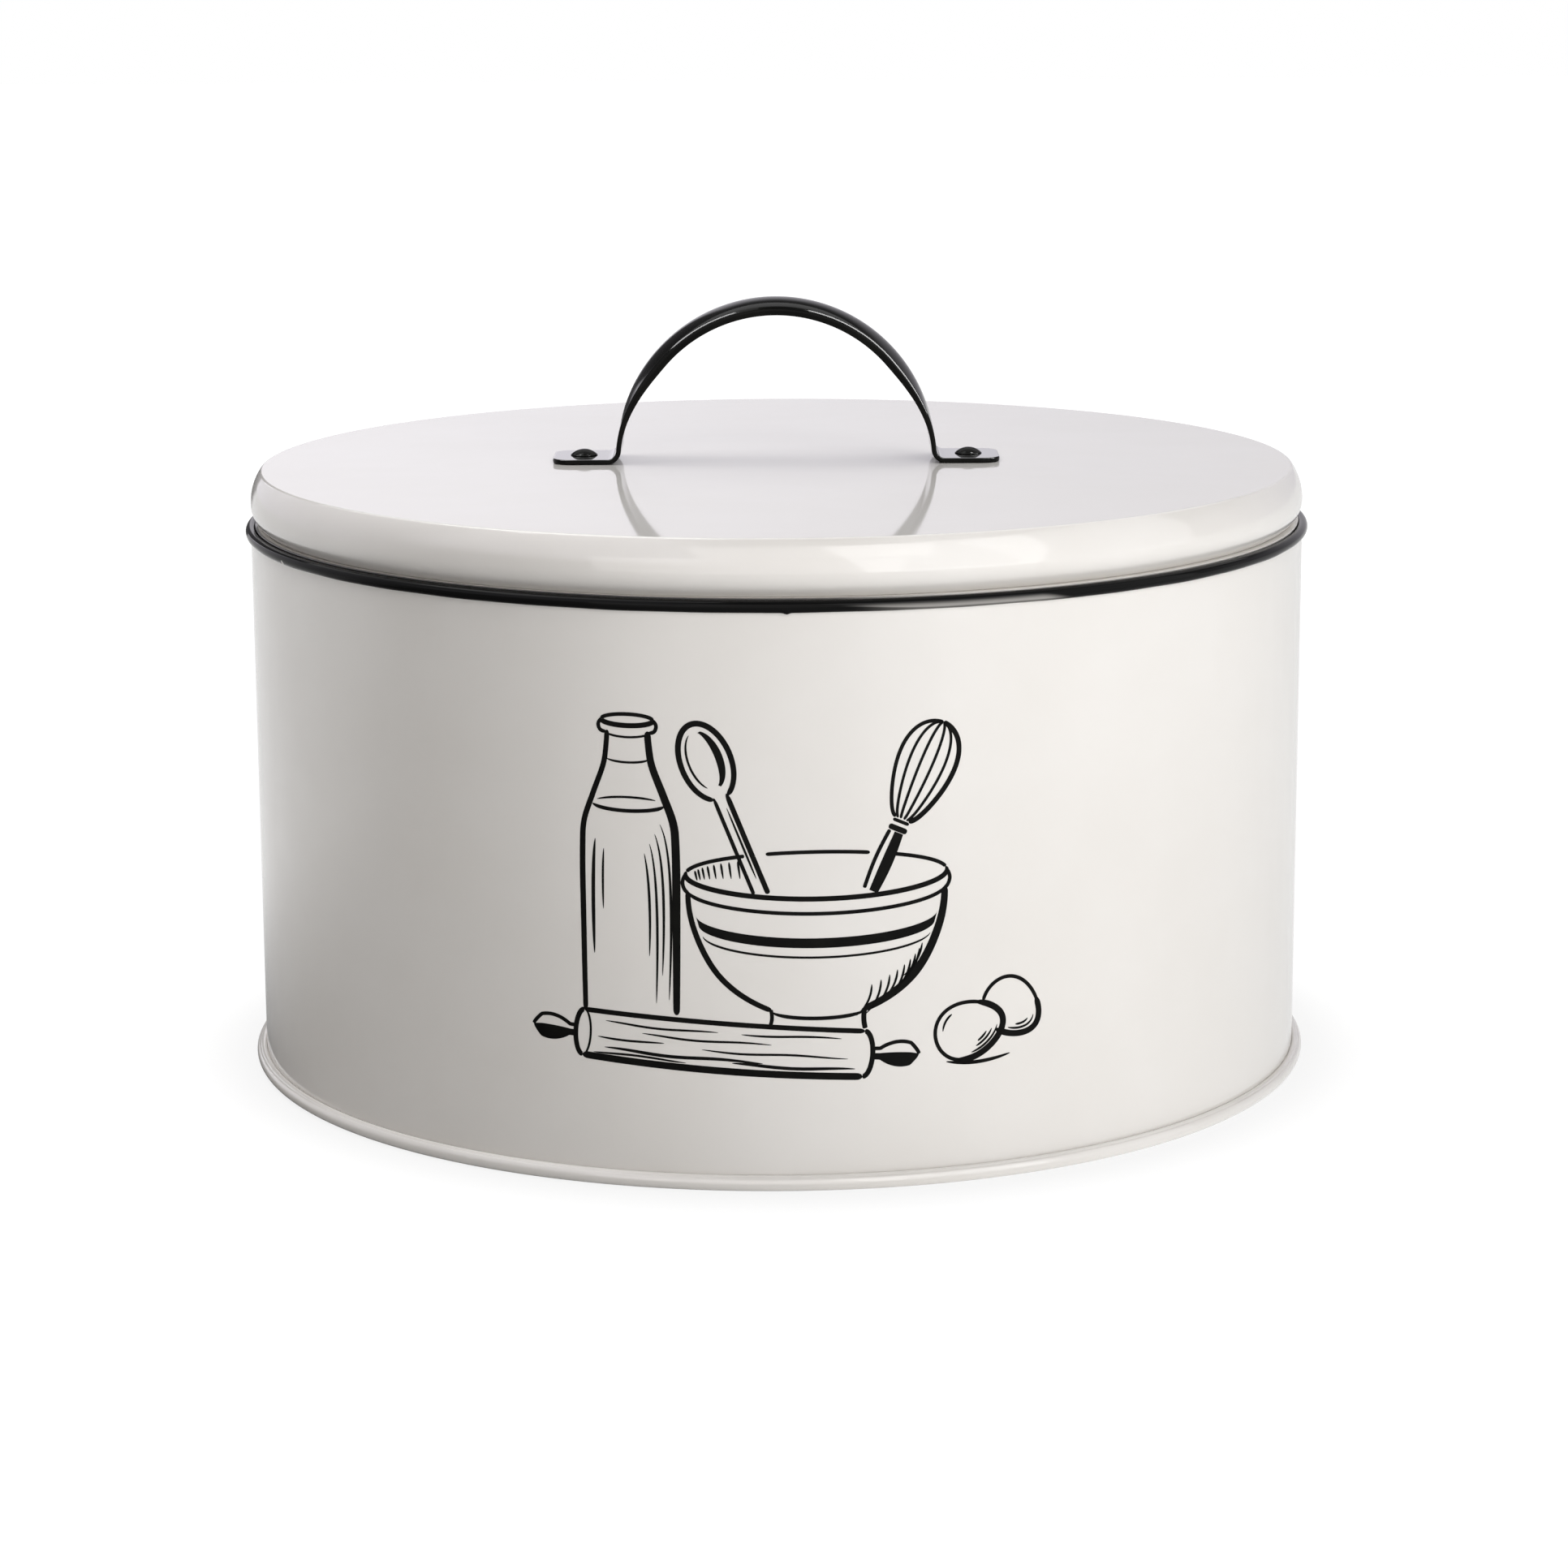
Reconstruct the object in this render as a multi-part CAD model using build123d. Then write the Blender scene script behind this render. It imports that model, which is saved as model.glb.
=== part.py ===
"""Round bread tin: enamelled body with a black rolled rim, seamed base and lift-off lid with a strap handle.

Millimetres. +Z is up. The origin is on the axis, at the plane the tin stands on.
"""
from build123d import *
from math import asin, cos, degrees, radians, sin, sqrt
import os

# Body
body_radius = 150.0         # outside of the wall
body_height = 155.5         # standing plane to the top of the rolled rim
wall_sheet = 0.6            # steel sheet of the wall and the base
seam_width = 5.0            # upright seam at the back of the wall
seam_proud = 0.5            # how far the seam stands out from the wall
seam_end_gap = 1.0          # bare wall between the seam and the bead or the rim

# Rolled rim
rim_roll_radius = 1.6       # radius of the roll's round section
rim_reach = 1.5             # how far the roll stands out from the wall
rim_grip = 1.3              # depth of wall inside the roll

# Base
bead_radius = 2.1           # radius of the seamed bead's round outer side
bead_reach = 2.8            # how far the bead stands out from the wall
bead_web = 1.1              # metal under the wall's lower edge
floor_recess = 2.4          # underside of the floor above the standing plane
heel_radius = 0.8           # round at the inner edge of the standing ring

# Lid
lid_sheet = 0.5             # steel sheet of the lid
lid_inset = 0.1             # widest line of the lid inside the wall's outside
side_low_radius = 7.0       # lower arc of the lid's bulged side
side_low_sweep = 57.0       # degrees from the widest line down to the seat
side_high_radius = 15.0     # upper arc of the bulged side
side_high_sweep = 37.8      # degrees from the widest line up to the crease
crease_round = 1.0          # outside round of the crease
dome_rise = 0.4             # centre of the lid above its crease

# Ring under the lid
seat_overlap = 0.5          # seat flange over the rim's inner edge
flange_lip = 0.6            # flange inside the lid's side
skirt_depth = 14.0          # skirt below the seat flange
hem_height = 4.0            # folded lower edge of the skirt

# Handle
strap_width = 22.0
strap_thickness = 1.4
arch_radius = 45.6          # outside of the arch
arch_height = 46.4          # top of the arch above the middle of the lid
arch_crown = 2.0            # height of the rounded back of the strap across its width
arch_edge_drop = 1.1        # extra depth of the turned-down edges
arch_blend = 32.0           # degrees of arch over which the strap goes from flat to pressed
arch_sections = 25          # cross-sections along the arch
foot_bend_radius = 2.6      # inside of the bend between foot and leg
foot_length = 15.6          # flat of the foot beyond the bend
foot_corner = 5.5           # rounded corners of the foot
rivet_set_in = 8.7          # rivet axis from the foot's outer end

# Rivets and washers
rivet_head_radius = 3.85
rivet_head_height = 1.8
rivet_shank_radius = 2.0
rivet_tail_radius = 3.2
rivet_tail_height = 1.2
washer_radius = 5.0
washer_thickness = 0.8

# Clearances
fit_gap = 0.05              # between pieces folded or fixed together
hole_gap = 0.1              # round a rivet's shank
skirt_gap = 0.5             # between the skirt and the rolled rim
seat_gap = 0.25             # between the seat flange and the rolled rim


def cap_radius(half_width, rise):
    """Radius of the sphere whose cap has this half width and rise."""
    return (half_width**2 + rise**2) / (2 * rise)


# Heights and radii that follow
wall_inside = body_radius - wall_sheet
bead_centre = body_radius + bead_reach - bead_radius
bead_height = 2 * bead_radius
wall_foot = bead_web + fit_gap
roll_centre = body_radius + rim_reach - rim_roll_radius
roll_inside = roll_centre - rim_roll_radius
roll_height = body_height - rim_roll_radius
roll_under = roll_height - rim_roll_radius
wall_top = roll_under + rim_grip

flange_radius = roll_inside + seat_overlap
seat_drop = rim_roll_radius - seat_overlap
flange_under = roll_height + sqrt(rim_roll_radius**2 - seat_drop**2) + seat_gap
flange_top = flange_under + lid_sheet
skirt_radius = roll_inside - skirt_gap

lid_radius = body_radius - lid_inset
widest_height = flange_top + side_low_radius * sin(radians(side_low_sweep))
side_foot_radius = lid_radius - side_low_radius * (1 - cos(radians(side_low_sweep)))
crease_radius = lid_radius - side_high_radius * (1 - cos(radians(side_high_sweep)))
crease_height = widest_height + side_high_radius * sin(radians(side_high_sweep))
dome_radius = cap_radius(crease_radius, dome_rise)
dome_top = crease_height + dome_rise


def dome_height(radius):
    """Height of the lid's top at a distance from the axis."""
    return dome_top - dome_radius + sqrt(dome_radius**2 - radius**2)


foot_under = dome_height(arch_radius) + fit_gap
foot_top = foot_under + strap_thickness
arch_centre = dome_top + arch_height - arch_radius
bend_height = foot_top + foot_bend_radius
leg_angle = degrees(asin((bend_height - arch_centre) / (arch_radius + foot_bend_radius)))
bend_place = (arch_radius + foot_bend_radius) * cos(radians(leg_angle))
foot_end = bend_place + foot_length
rivet_place = foot_end - rivet_set_in
washer_top = dome_height(rivet_place + washer_radius) - lid_sheet - fit_gap


def turned(*edges):
    """Solid turned about the axis from a closed outline of (radius, height) edges."""
    return revolve(Plane.XZ * make_face(edges), Axis.Z, 360)


def path(*points):
    """Straight edges through (radius, height) points."""
    return Polyline(*points).edges()


def arc_point(centre, radius, angle):
    """Point on a circle, with the angle in degrees from the outward direction."""
    return (centre[0] + radius * cos(radians(angle)), centre[1] + radius * sin(radians(angle)))


def arc(centre, radius, start, end):
    """Circular edge between two angles in degrees."""
    ends = [arc_point(centre, radius, angle) for angle in (start, (start + end) / 2, end)]
    return ThreePointArc(*ends)


def circles_cross(low_centre, low_radius, side_centre, side_radius):
    """Outer upper point where a circle centred on the axis meets a circle beside it."""
    dx = side_centre[0] - low_centre[0]
    dz = side_centre[1] - low_centre[1]
    apart = sqrt(dx**2 + dz**2)
    along = (apart**2 + low_radius**2 - side_radius**2) / (2 * apart)
    across = sqrt(low_radius**2 - along**2)
    return (
        low_centre[0] + (along * dx + across * dz) / apart,
        low_centre[1] + (along * dz - across * dx) / apart,
    )


def rivet_holes():
    """Clearance holes for both rivets, through the feet and the lid."""
    depth = foot_top + rivet_head_height - washer_top
    hole = Cylinder(rivet_shank_radius + hole_gap, depth, align=(Align.CENTER, Align.CENTER, Align.MIN))
    return [Pos(side * rivet_place, 0, washer_top) * hole for side in (-1, 1)]


def make_body_wall():
    """Plain cylinder of sheet, with the upright seam standing out at the back."""
    wall = turned(*path(
        (wall_inside, wall_foot),
        (body_radius, wall_foot),
        (body_radius, wall_top),
        (wall_inside, wall_top),
        (wall_inside, wall_foot),
    ))
    seam_low = bead_height + seam_end_gap
    seam_high = roll_under - seam_end_gap
    band = turned(*path(
        (wall_inside, seam_low),
        (body_radius + seam_proud, seam_low),
        (body_radius + seam_proud, seam_high),
        (wall_inside, seam_high),
        (wall_inside, seam_low),
    ))
    back = Pos(0, body_radius, (seam_low + seam_high) / 2)
    seam = band & (back * Box(seam_width, body_radius, seam_high - seam_low))
    return wall + seam


def make_rim_roll():
    """Round roll with a slot below, which grips the top of the wall."""
    slot_width = wall_sheet + 2 * fit_gap
    slot_depth = rim_grip + fit_gap
    slot = Rectangle(slot_width, slot_depth, align=(Align.CENTER, Align.MIN))
    slot_place = Pos(body_radius - wall_sheet / 2, roll_under)
    section = Pos(roll_centre, roll_height) * Circle(rim_roll_radius) - slot_place * slot
    return revolve(Plane.XZ * section, Axis.Z, 360)


def make_base_plate():
    """Recessed floor, and a bead that folds under the wall's lower edge and up its outside."""
    slot_in = wall_inside - fit_gap
    slot_out = body_radius + fit_gap
    heel_inside = slot_in - wall_sheet
    floor_top = floor_recess + wall_sheet
    heel_centre = (heel_inside + heel_radius, heel_radius)
    return turned(
        *path(
            (0, floor_top),
            (slot_in, floor_top),
            (slot_in, bead_web),
            (slot_out, bead_web),
            (slot_out, bead_height),
            (bead_centre, bead_height),
        ),
        arc((bead_centre, bead_radius), bead_radius, 90, -90),
        Line((bead_centre, 0), (heel_centre[0], 0)),
        arc(heel_centre, heel_radius, 270, 180),
        *path(
            (heel_inside, heel_radius),
            (heel_inside, floor_recess),
            (0, floor_recess),
            (0, floor_top),
        ),
    )


def make_lid_panel():
    """Domed top, creased edge and bulged side, cut level where it stands on the seat flange."""
    dome_centre = (0, dome_top - dome_radius)
    high_centre = (lid_radius - side_high_radius, widest_height)
    low_centre = (lid_radius - side_low_radius, widest_height)
    inner_dome = dome_radius - lid_sheet
    inner_high = side_high_radius - lid_sheet
    inner_low = side_low_radius - lid_sheet
    crease = (crease_radius, crease_height)
    inner_crease = circles_cross(dome_centre, inner_dome, high_centre, inner_high)
    inner_top = (0, dome_top - lid_sheet)
    crease_angle = degrees(asin((inner_crease[1] - widest_height) / inner_high))
    section = make_face([
        RadiusArc((0, dome_top), crease, dome_radius),
        arc(high_centre, side_high_radius, side_high_sweep, 0),
        arc(low_centre, side_low_radius, 0, -90),
        Line(arc_point(low_centre, side_low_radius, -90), arc_point(low_centre, inner_low, -90)),
        arc(low_centre, inner_low, -90, 0),
        arc(high_centre, inner_high, 0, crease_angle),
        RadiusArc(inner_crease, inner_top, -inner_dome),
        Line(inner_top, (0, dome_top)),
    ])
    outer_corner = section.vertices().sort_by_distance(crease)[:1]
    section = fillet(outer_corner, crease_round)
    inner_corner = section.vertices().sort_by_distance(inner_crease)[:1]
    section = fillet(inner_corner, crease_round - lid_sheet)
    panel = revolve(Plane.XZ * section, Axis.Z, 360)
    panel = split(panel, Plane.XY.offset(flange_top), keep=Keep.TOP)
    return panel - rivet_holes()


def make_lid_neck():
    """Seat flange over the rim's inner edge, and a hemmed skirt that drops inside it."""
    flange_inside = side_foot_radius - lid_sheet - flange_lip
    skirt_inside = skirt_radius - lid_sheet
    skirt_foot = flange_under - skirt_depth
    hem_top = skirt_foot + hem_height
    return turned(*path(
        (flange_inside, flange_under),
        (skirt_inside, flange_under),
        (skirt_inside, hem_top),
        (skirt_inside - lid_sheet, hem_top),
        (skirt_inside - lid_sheet, skirt_foot),
        (skirt_radius, skirt_foot),
        (skirt_radius, flange_under),
        (flange_radius, flange_under),
        (flange_radius, flange_top),
        (flange_inside, flange_top),
        (flange_inside, flange_under),
    ))


def arch_section(number):
    """Numbered cross-section of the arch: flat at the legs, pressed towards the top."""
    last = arch_sections - 1
    step = (180 - 2 * leg_angle) / last
    angle = leg_angle + step * number
    share = min(step * min(number, last - number) / arch_blend, 1)
    pressed = share**2 * (3 - 2 * share)
    half = strap_width / 2
    crown = arch_crown * pressed
    edge = -crown - strap_thickness - arch_edge_drop * pressed
    if crown > 0:
        back = ThreePointArc((-half, -crown), (0, 0), (half, -crown))
        belly = ThreePointArc((half, edge), (0, -strap_thickness), (-half, edge))
    else:
        back = Line((-half, 0), (half, 0))
        belly = Line((half, edge), (-half, edge))
    sides = (Line((half, -crown), (half, edge)), Line((-half, edge), (-half, -crown)))
    outward = Vector(cos(radians(angle)), 0, sin(radians(angle)))
    place = Plane(
        origin=Vector(0, 0, arch_centre) + outward * arch_radius,
        x_dir=(0, 1, 0),
        z_dir=Vector(0, 1, 0).cross(outward),
    )
    return place * make_face([back, sides[0], belly, sides[1]])


def make_foot():
    """Right foot with its rounded corners, and the bend up to the leg."""
    bend = (bend_place, bend_height)
    outer_bend = foot_bend_radius + strap_thickness
    leg_side = 180 + leg_angle
    outline = make_face([
        *path(
            (bend_place, foot_under),
            (foot_end, foot_under),
            (foot_end, foot_top),
            (bend_place, foot_top),
        ),
        arc(bend, foot_bend_radius, 270, leg_side),
        Line(arc_point(bend, foot_bend_radius, leg_side), arc_point(bend, outer_bend, leg_side)),
        arc(bend, outer_bend, leg_side, 270),
    ])
    foot = extrude(Plane.XZ * outline, strap_width / 2, both=True)
    corners = foot.edges().filter_by(Axis.Z).group_by(Axis.X)[-1]
    return fillet(corners, foot_corner)


def make_handle_strap():
    """Arch lofted through its sections, with a foot at each end and the rivet holes."""
    arch = loft([arch_section(number) for number in range(arch_sections)])
    foot = make_foot()
    strap = arch + foot + mirror(foot, Plane.YZ)
    return strap - rivet_holes()


def make_rivet(side):
    """Domed head on the foot, shank through foot, lid and washer, and a low domed tail."""
    tail_top = washer_top - washer_thickness
    crown = (0, foot_top + rivet_head_height)
    brim = (rivet_head_radius, foot_top)
    tail_brim = (rivet_tail_radius, tail_top)
    tail_end = (0, tail_top - rivet_tail_height)
    rivet = turned(
        RadiusArc(crown, brim, cap_radius(rivet_head_radius, rivet_head_height)),
        *path(brim, (rivet_shank_radius, foot_top), (rivet_shank_radius, tail_top), tail_brim),
        RadiusArc(tail_brim, tail_end, cap_radius(rivet_tail_radius, rivet_tail_height)),
        Line(tail_end, crown),
    )
    return Pos(side * rivet_place, 0, 0) * rivet


def make_washer(side):
    """Plain washer under the lid."""
    washer = turned(*path(
        (rivet_shank_radius + hole_gap, washer_top - washer_thickness),
        (washer_radius, washer_top - washer_thickness),
        (washer_radius, washer_top),
        (rivet_shank_radius + hole_gap, washer_top),
        (rivet_shank_radius + hole_gap, washer_top - washer_thickness),
    ))
    return Pos(side * rivet_place, 0, 0) * washer


pieces = {
    "body_wall": make_body_wall(),
    "rim_roll": make_rim_roll(),
    "base_plate": make_base_plate(),
    "lid_panel": make_lid_panel(),
    "lid_neck": make_lid_neck(),
    "handle_strap": make_handle_strap(),
    "left_rivet": make_rivet(-1),
    "right_rivet": make_rivet(1),
    "left_washer": make_washer(-1),
    "right_washer": make_washer(1),
}

os.makedirs("parts", exist_ok=True)
for name, solid in pieces.items():
    export_step(solid, f"parts/{name}.step")
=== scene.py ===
"""Round bread tin: smooth enamelled surfaces, black rim and handle, and the studio that it is seen in.

Metres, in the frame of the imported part: +Z up, the tin's axis at the origin, its front towards -Y.
"""

import bpy
import numpy as np
from mathutils import Matrix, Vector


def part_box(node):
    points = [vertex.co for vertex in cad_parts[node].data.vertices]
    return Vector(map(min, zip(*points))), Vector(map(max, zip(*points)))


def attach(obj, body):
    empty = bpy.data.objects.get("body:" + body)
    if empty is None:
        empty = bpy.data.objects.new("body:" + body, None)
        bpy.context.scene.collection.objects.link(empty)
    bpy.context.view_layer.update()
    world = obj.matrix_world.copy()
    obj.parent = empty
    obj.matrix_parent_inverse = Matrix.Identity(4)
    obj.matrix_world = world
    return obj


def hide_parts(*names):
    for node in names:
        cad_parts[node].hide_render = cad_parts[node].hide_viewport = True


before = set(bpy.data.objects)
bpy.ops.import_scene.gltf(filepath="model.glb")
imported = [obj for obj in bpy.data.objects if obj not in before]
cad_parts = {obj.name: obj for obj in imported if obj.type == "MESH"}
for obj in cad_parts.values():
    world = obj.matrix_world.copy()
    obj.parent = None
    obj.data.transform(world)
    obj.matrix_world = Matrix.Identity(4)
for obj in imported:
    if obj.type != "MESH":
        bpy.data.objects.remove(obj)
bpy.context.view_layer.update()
MM = 0.001
TIN_FOOT = (0.0, 0.0, 0.0)
BACK_TURN = np.pi / 2
FRONT_TURN = 1.5 * np.pi

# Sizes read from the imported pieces
wall_low, wall_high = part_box("body_wall")
roll_low, roll_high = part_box("rim_roll")
base_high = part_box("base_plate")[1]
panel_low, panel_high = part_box("lid_panel")
neck_low, neck_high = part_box("lid_neck")
strap_low, strap_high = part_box("handle_strap")
rivet_low, rivet_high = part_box("right_rivet")
washer_low, washer_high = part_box("right_washer")

WALL_RADIUS = wall_high.x
WALL_FOOT = wall_low.z
WALL_TOP = wall_high.z
SEAM_PROUD = wall_high.y - wall_high.x
ROLL_RADIUS = (roll_high.z - roll_low.z) / 2
ROLL_CENTRE = roll_high.x - ROLL_RADIUS
ROLL_HEIGHT = roll_high.z - ROLL_RADIUS
BEAD_RADIUS = base_high.z / 2
BEAD_CENTRE = base_high.x - BEAD_RADIUS
LID_RADIUS = panel_high.x
LID_SEAT = panel_low.z
DOME_TOP = panel_high.z
FLANGE_RADIUS = neck_high.x
SKIRT_FOOT = neck_low.z
STRAP_WIDTH = strap_high.y - strap_low.y
STRAP_TOP = strap_high.z
FOOT_UNDER = strap_low.z
FOOT_END = strap_high.x
RIVET_PLACE = (rivet_low.x + rivet_high.x) / 2
RIVET_HEAD = (rivet_high.x - rivet_low.x) / 2
WASHER_RADIUS = (washer_high.x - washer_low.x) / 2

# Sheet and fit
WALL_SHEET = 0.6 * MM
LID_SHEET = 0.5 * MM
FIT_GAP = 0.05 * MM
EDGE_ROUND = 0.15 * MM

# Upright seam at the back
SEAM_WIDTH = 5.0 * MM
SEAM_SHOULDER = 0.5 * MM
SEAM_INSET = 6.0 * MM
SEAM_CLEAR = SEAM_INSET / 6

# Rim: ripples as (waves in a turn, start), a drip, and a painted reflection on the lower right between
# bearings in radians
ROLL_GRIP = 1.35 * MM
ROLL_RIPPLE = 0.05 * MM
RIPPLES = ((7, 1.0), (23, 0.0), (41, 2.0))
DRIP_PLACE = 2.4 * MM
DRIP_WIDTH = 0.9 * MM
DRIP_DEPTH = 0.55 * MM
HANG_START = 0.7
REFLECTION_START = (0.1, 0.19)
REFLECTION_FOOT = (0.1, 0.28)
REFLECTION_END = (0.46, 0.57)
REFLECTION_SHARE = 0.4
LINE_SHARE = 0.4
STRIP_TOP = (0.5 * ROLL_RADIUS, -0.9 * ROLL_RADIUS)
STRIP_FADE = 0.85 * ROLL_RADIUS
STRIP_FOOT = -0.6 * ROLL_RADIUS
STRIP_LINE = (-0.1 * ROLL_RADIUS, 0.15 * ROLL_RADIUS)
CHIP_BEARING = np.radians(-62.5)
CHIP_HEIGHT = ROLL_HEIGHT - 0.6 * ROLL_RADIUS
CHIP_PLACE = (roll_high.x * np.sin(CHIP_BEARING), -roll_high.x * np.cos(CHIP_BEARING), CHIP_HEIGHT)
CHIP_SIZE = (0.5 * MM, 1.0 * MM)
CHIP_SHARE = 0.8

# Base: the fold's angle and spread are in degrees
BEAD_WEB = 1.1 * MM
FLOOR_RECESS = 2.4 * MM
HEEL_ROUND = 0.8 * MM
FOLD_ANGLE = 58.0
FOLD_SPREAD = 7.0
FOLD_DEPTH = 0.16 * MM

# Lid: sweeps are in degrees, and the painted shade on the seat's left side ends between bearings in radians
SIDE_LOW_RADIUS = 7.0 * MM
SIDE_HIGH_RADIUS = 15.0 * MM
SIDE_LOW_SWEEP = 57.0
SIDE_HIGH_SWEEP = 37.8
CREASE_ROUND = 1.0 * MM
SKIRT_RADIUS = 147.8 * MM
FLANGE_INSIDE = 145.6 * MM
HEM_HEIGHT = 4.0 * MM
SEAT_SHADE_SIDE = (-0.2, 0.4)
SEAT_SHADE_START = SKIRT_RADIUS

# Handle: the arch's blend and the bevel's lean and spread are in degrees
STRAP_THICKNESS = 1.4 * MM
ARCH_RADIUS = 45.6 * MM
ARCH_CROWN = 2.0 * MM
ARCH_EDGE_DROP = 1.1 * MM
ARCH_BLEND = 37.0
FOOT_BEND = 2.6 * MM
FOOT_CORNER = 5.5 * MM
BACK_ROUND = 0.5 * MM
BEVEL_ROUND = 3.6 * MM
BEVEL_LEAN = 46.0
BEVEL_SPREAD = 6.0
BEVEL_STEPS = 31
FLAT_ENOUGH = 0.8
BELLY_ROUND = 0.35 * MM
ROUND_SHARE = 0.45

# Rivets and washers
RIVET_BRIM = 0.3 * MM
SHANK_RADIUS = 2.0 * MM
TAIL_RADIUS = 3.2 * MM
TAIL_HEIGHT = 1.2 * MM
SHANK_CLEARANCE = 0.1 * MM

# Fineness of the meshes: a reach of finer steps is in widths of the seam or the drip
ROUND_STEPS = 288
SMALL_STEPS = 64
SEAM_STEPS = 33
SEAM_REACH = 0.8
DRIP_STEPS = 41
DRIP_REACH = 3.0
BEAD_STEPS = 61
DOME_STEPS = 48
END_STEPS = 7
CORNER_STEPS = 14
CORNER_SKIP = 5
FOOT_STEPS = 9
BEND_STEPS = 13
ARCH_STEPS = 121
BACK_STEPS = 14
BELLY_STEPS = 9
CRISP_ANGLE = 45.0
WELD_GRID = 0.001 * MM


# Meshes
def add_piece(name, points, faces, material, crisp=False):
    """Object of points and four-sided faces: equal points are welded, and the shell faces outwards."""
    welded = np.round(points / WELD_GRID)
    first, place = np.unique(welded, axis=0, return_index=True, return_inverse=True)[1:]
    points = points[first]
    faces = place.reshape(-1)[faces]
    double = faces == np.roll(faces, -1, axis=1)
    quads = faces[double.sum(axis=1) == 0]
    thin = double.sum(axis=1) == 1
    corners = faces[thin][~double[thin]].reshape(-1, 3)
    loops = np.concatenate([quads.ravel(), corners.ravel()])
    sizes = np.concatenate([np.full(len(quads), 4), np.full(len(corners), 3)])
    halves = np.concatenate([quads[:, [0, 1, 2]], quads[:, [0, 2, 3]], corners])
    a, b, c = (points[halves[:, k]] for k in range(3))
    if np.einsum("ij,ij->", a, np.cross(b, c)) < 0:
        loops = np.concatenate([quads[:, ::-1].ravel(), corners[:, ::-1].ravel()])
    mesh = bpy.data.meshes.new(name)
    mesh.vertices.add(len(points))
    mesh.vertices.foreach_set("co", points.astype(np.float32).ravel())
    mesh.loops.add(len(loops))
    mesh.loops.foreach_set("vertex_index", loops.astype(np.int32))
    mesh.polygons.add(len(sizes))
    starts = np.cumsum(sizes) - sizes
    mesh.polygons.foreach_set("loop_start", starts.astype(np.int32))
    mesh.polygons.foreach_set("use_smooth", np.ones(len(sizes), bool))
    mesh.update(calc_edges=True)
    mesh.validate()
    if crisp:
        mesh.set_sharp_from_angle(angle=np.radians(CRISP_ANGLE))
    piece = bpy.data.objects.new(name, mesh)
    bpy.context.scene.collection.objects.link(piece)
    mesh.materials.append(material)
    return piece


def grid_faces(rows, columns, wrap_rows, wrap_columns):
    """Four-sided faces between neighbouring points of a grid, joined round where it wraps."""
    row = np.arange(rows if wrap_rows else rows - 1)
    column = np.arange(columns if wrap_columns else columns - 1)
    row, column = np.meshgrid(row, column, indexing="ij")
    next_row = (row + 1) % rows
    next_column = (column + 1) % columns
    corners = (row, column), (next_row, column), (next_row, next_column), (row, next_column)
    return np.stack([(r * columns + c).ravel() for r, c in corners], -1)


def turned_piece(name, radius, height, turn, material, centre=0.0):
    """Surface turned about an upright axis: (centre + r cos a, r sin a, z) on an (a, v) grid."""
    turn = turn[:, None]
    points = np.stack(np.broadcast_arrays(
        centre + radius * np.cos(turn), radius * np.sin(turn), height,
    ), -1)
    rows, columns = points.shape[:2]
    return add_piece(name, points.reshape(-1, 3), grid_faces(rows, columns, True, True), material)


def full_turn(steps):
    """Angles of a full turn, the first not repeated."""
    return np.linspace(0.0, 2 * np.pi, steps, endpoint=False)


# Profiles of (radius, height)
def arc_points(centre, radius, start, end, steps):
    """Circle about a centre, between two angles in degrees from the outward direction."""
    turn = np.radians(np.linspace(start, end, steps))
    return np.stack([centre[0] + radius * np.cos(turn), centre[1] + radius * np.sin(turn)], -1)


def eased_steps(steps):
    """Shares from 0 to 1, drawn close together at both ends by a cosine."""
    return 0.5 - 0.5 * np.cos(np.linspace(0.0, np.pi, steps))


def straight_points(start, end, steps):
    """Straight run with its points drawn close together at both ends."""
    share = eased_steps(steps)[:, None]
    return (1 - share) * np.asarray(start) + share * np.asarray(end)


def rounded_outline(corners, rounding, arc_steps, run_steps):
    """Closed outline through corners: each is a circle tangent to its sides, with straight runs between."""
    corners = np.asarray(corners, float)
    back = np.roll(corners, 1, axis=0) - corners
    ahead = np.roll(corners, -1, axis=0) - corners
    back /= np.linalg.norm(back, axis=1)[:, None]
    ahead /= np.linalg.norm(ahead, axis=1)[:, None]
    half = np.arccos(np.clip(np.einsum("ij,ij->i", back, ahead), -1, 1)) / 2
    middle = back + ahead
    middle /= np.linalg.norm(middle, axis=1)[:, None]
    centre = corners + middle * (rounding / np.sin(half))[:, None]
    reach = (rounding / np.tan(half))[:, None]
    start = corners + back * reach - centre
    end = corners + ahead * reach - centre
    first = np.arctan2(start[:, 1], start[:, 0])
    sweep = np.arctan2(end[:, 1], end[:, 0]) - first
    sweep = (sweep + np.pi) % (2 * np.pi) - np.pi
    angle = first[:, None] + sweep[:, None] * np.linspace(0.0, 1.0, arc_steps)
    rounds = centre[:, None] + rounding * np.stack([np.cos(angle), np.sin(angle)], -1)
    share = eased_steps(run_steps)[1:-1, None]
    leave = rounds[:, -1:]
    reach_next = np.roll(rounds[:, :1], -1, axis=0)
    runs = (1 - share) * leave + share * reach_next
    return np.concatenate([rounds, runs], axis=1).reshape(-1, 2)


def smooth_step(value):
    """Rises from 0 to 1 with level ends: 3x2 - 2x3."""
    value = np.clip(value, 0.0, 1.0)
    return value**2 * (3 - 2 * value)


# Shader values
NOISE_SPAN = (0.3, 0.7)


def set_levels(made, levels):
    """Plain values for a node's sockets, by name, with _ in place of a space."""
    for key, value in levels.items():
        made.inputs[key.replace("_", " ")].default_value = value


def node(tree, kind, **levels):
    """New shader node with some of its plain values set."""
    made = tree.nodes.new(kind)
    set_levels(made, levels)
    return made


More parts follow.
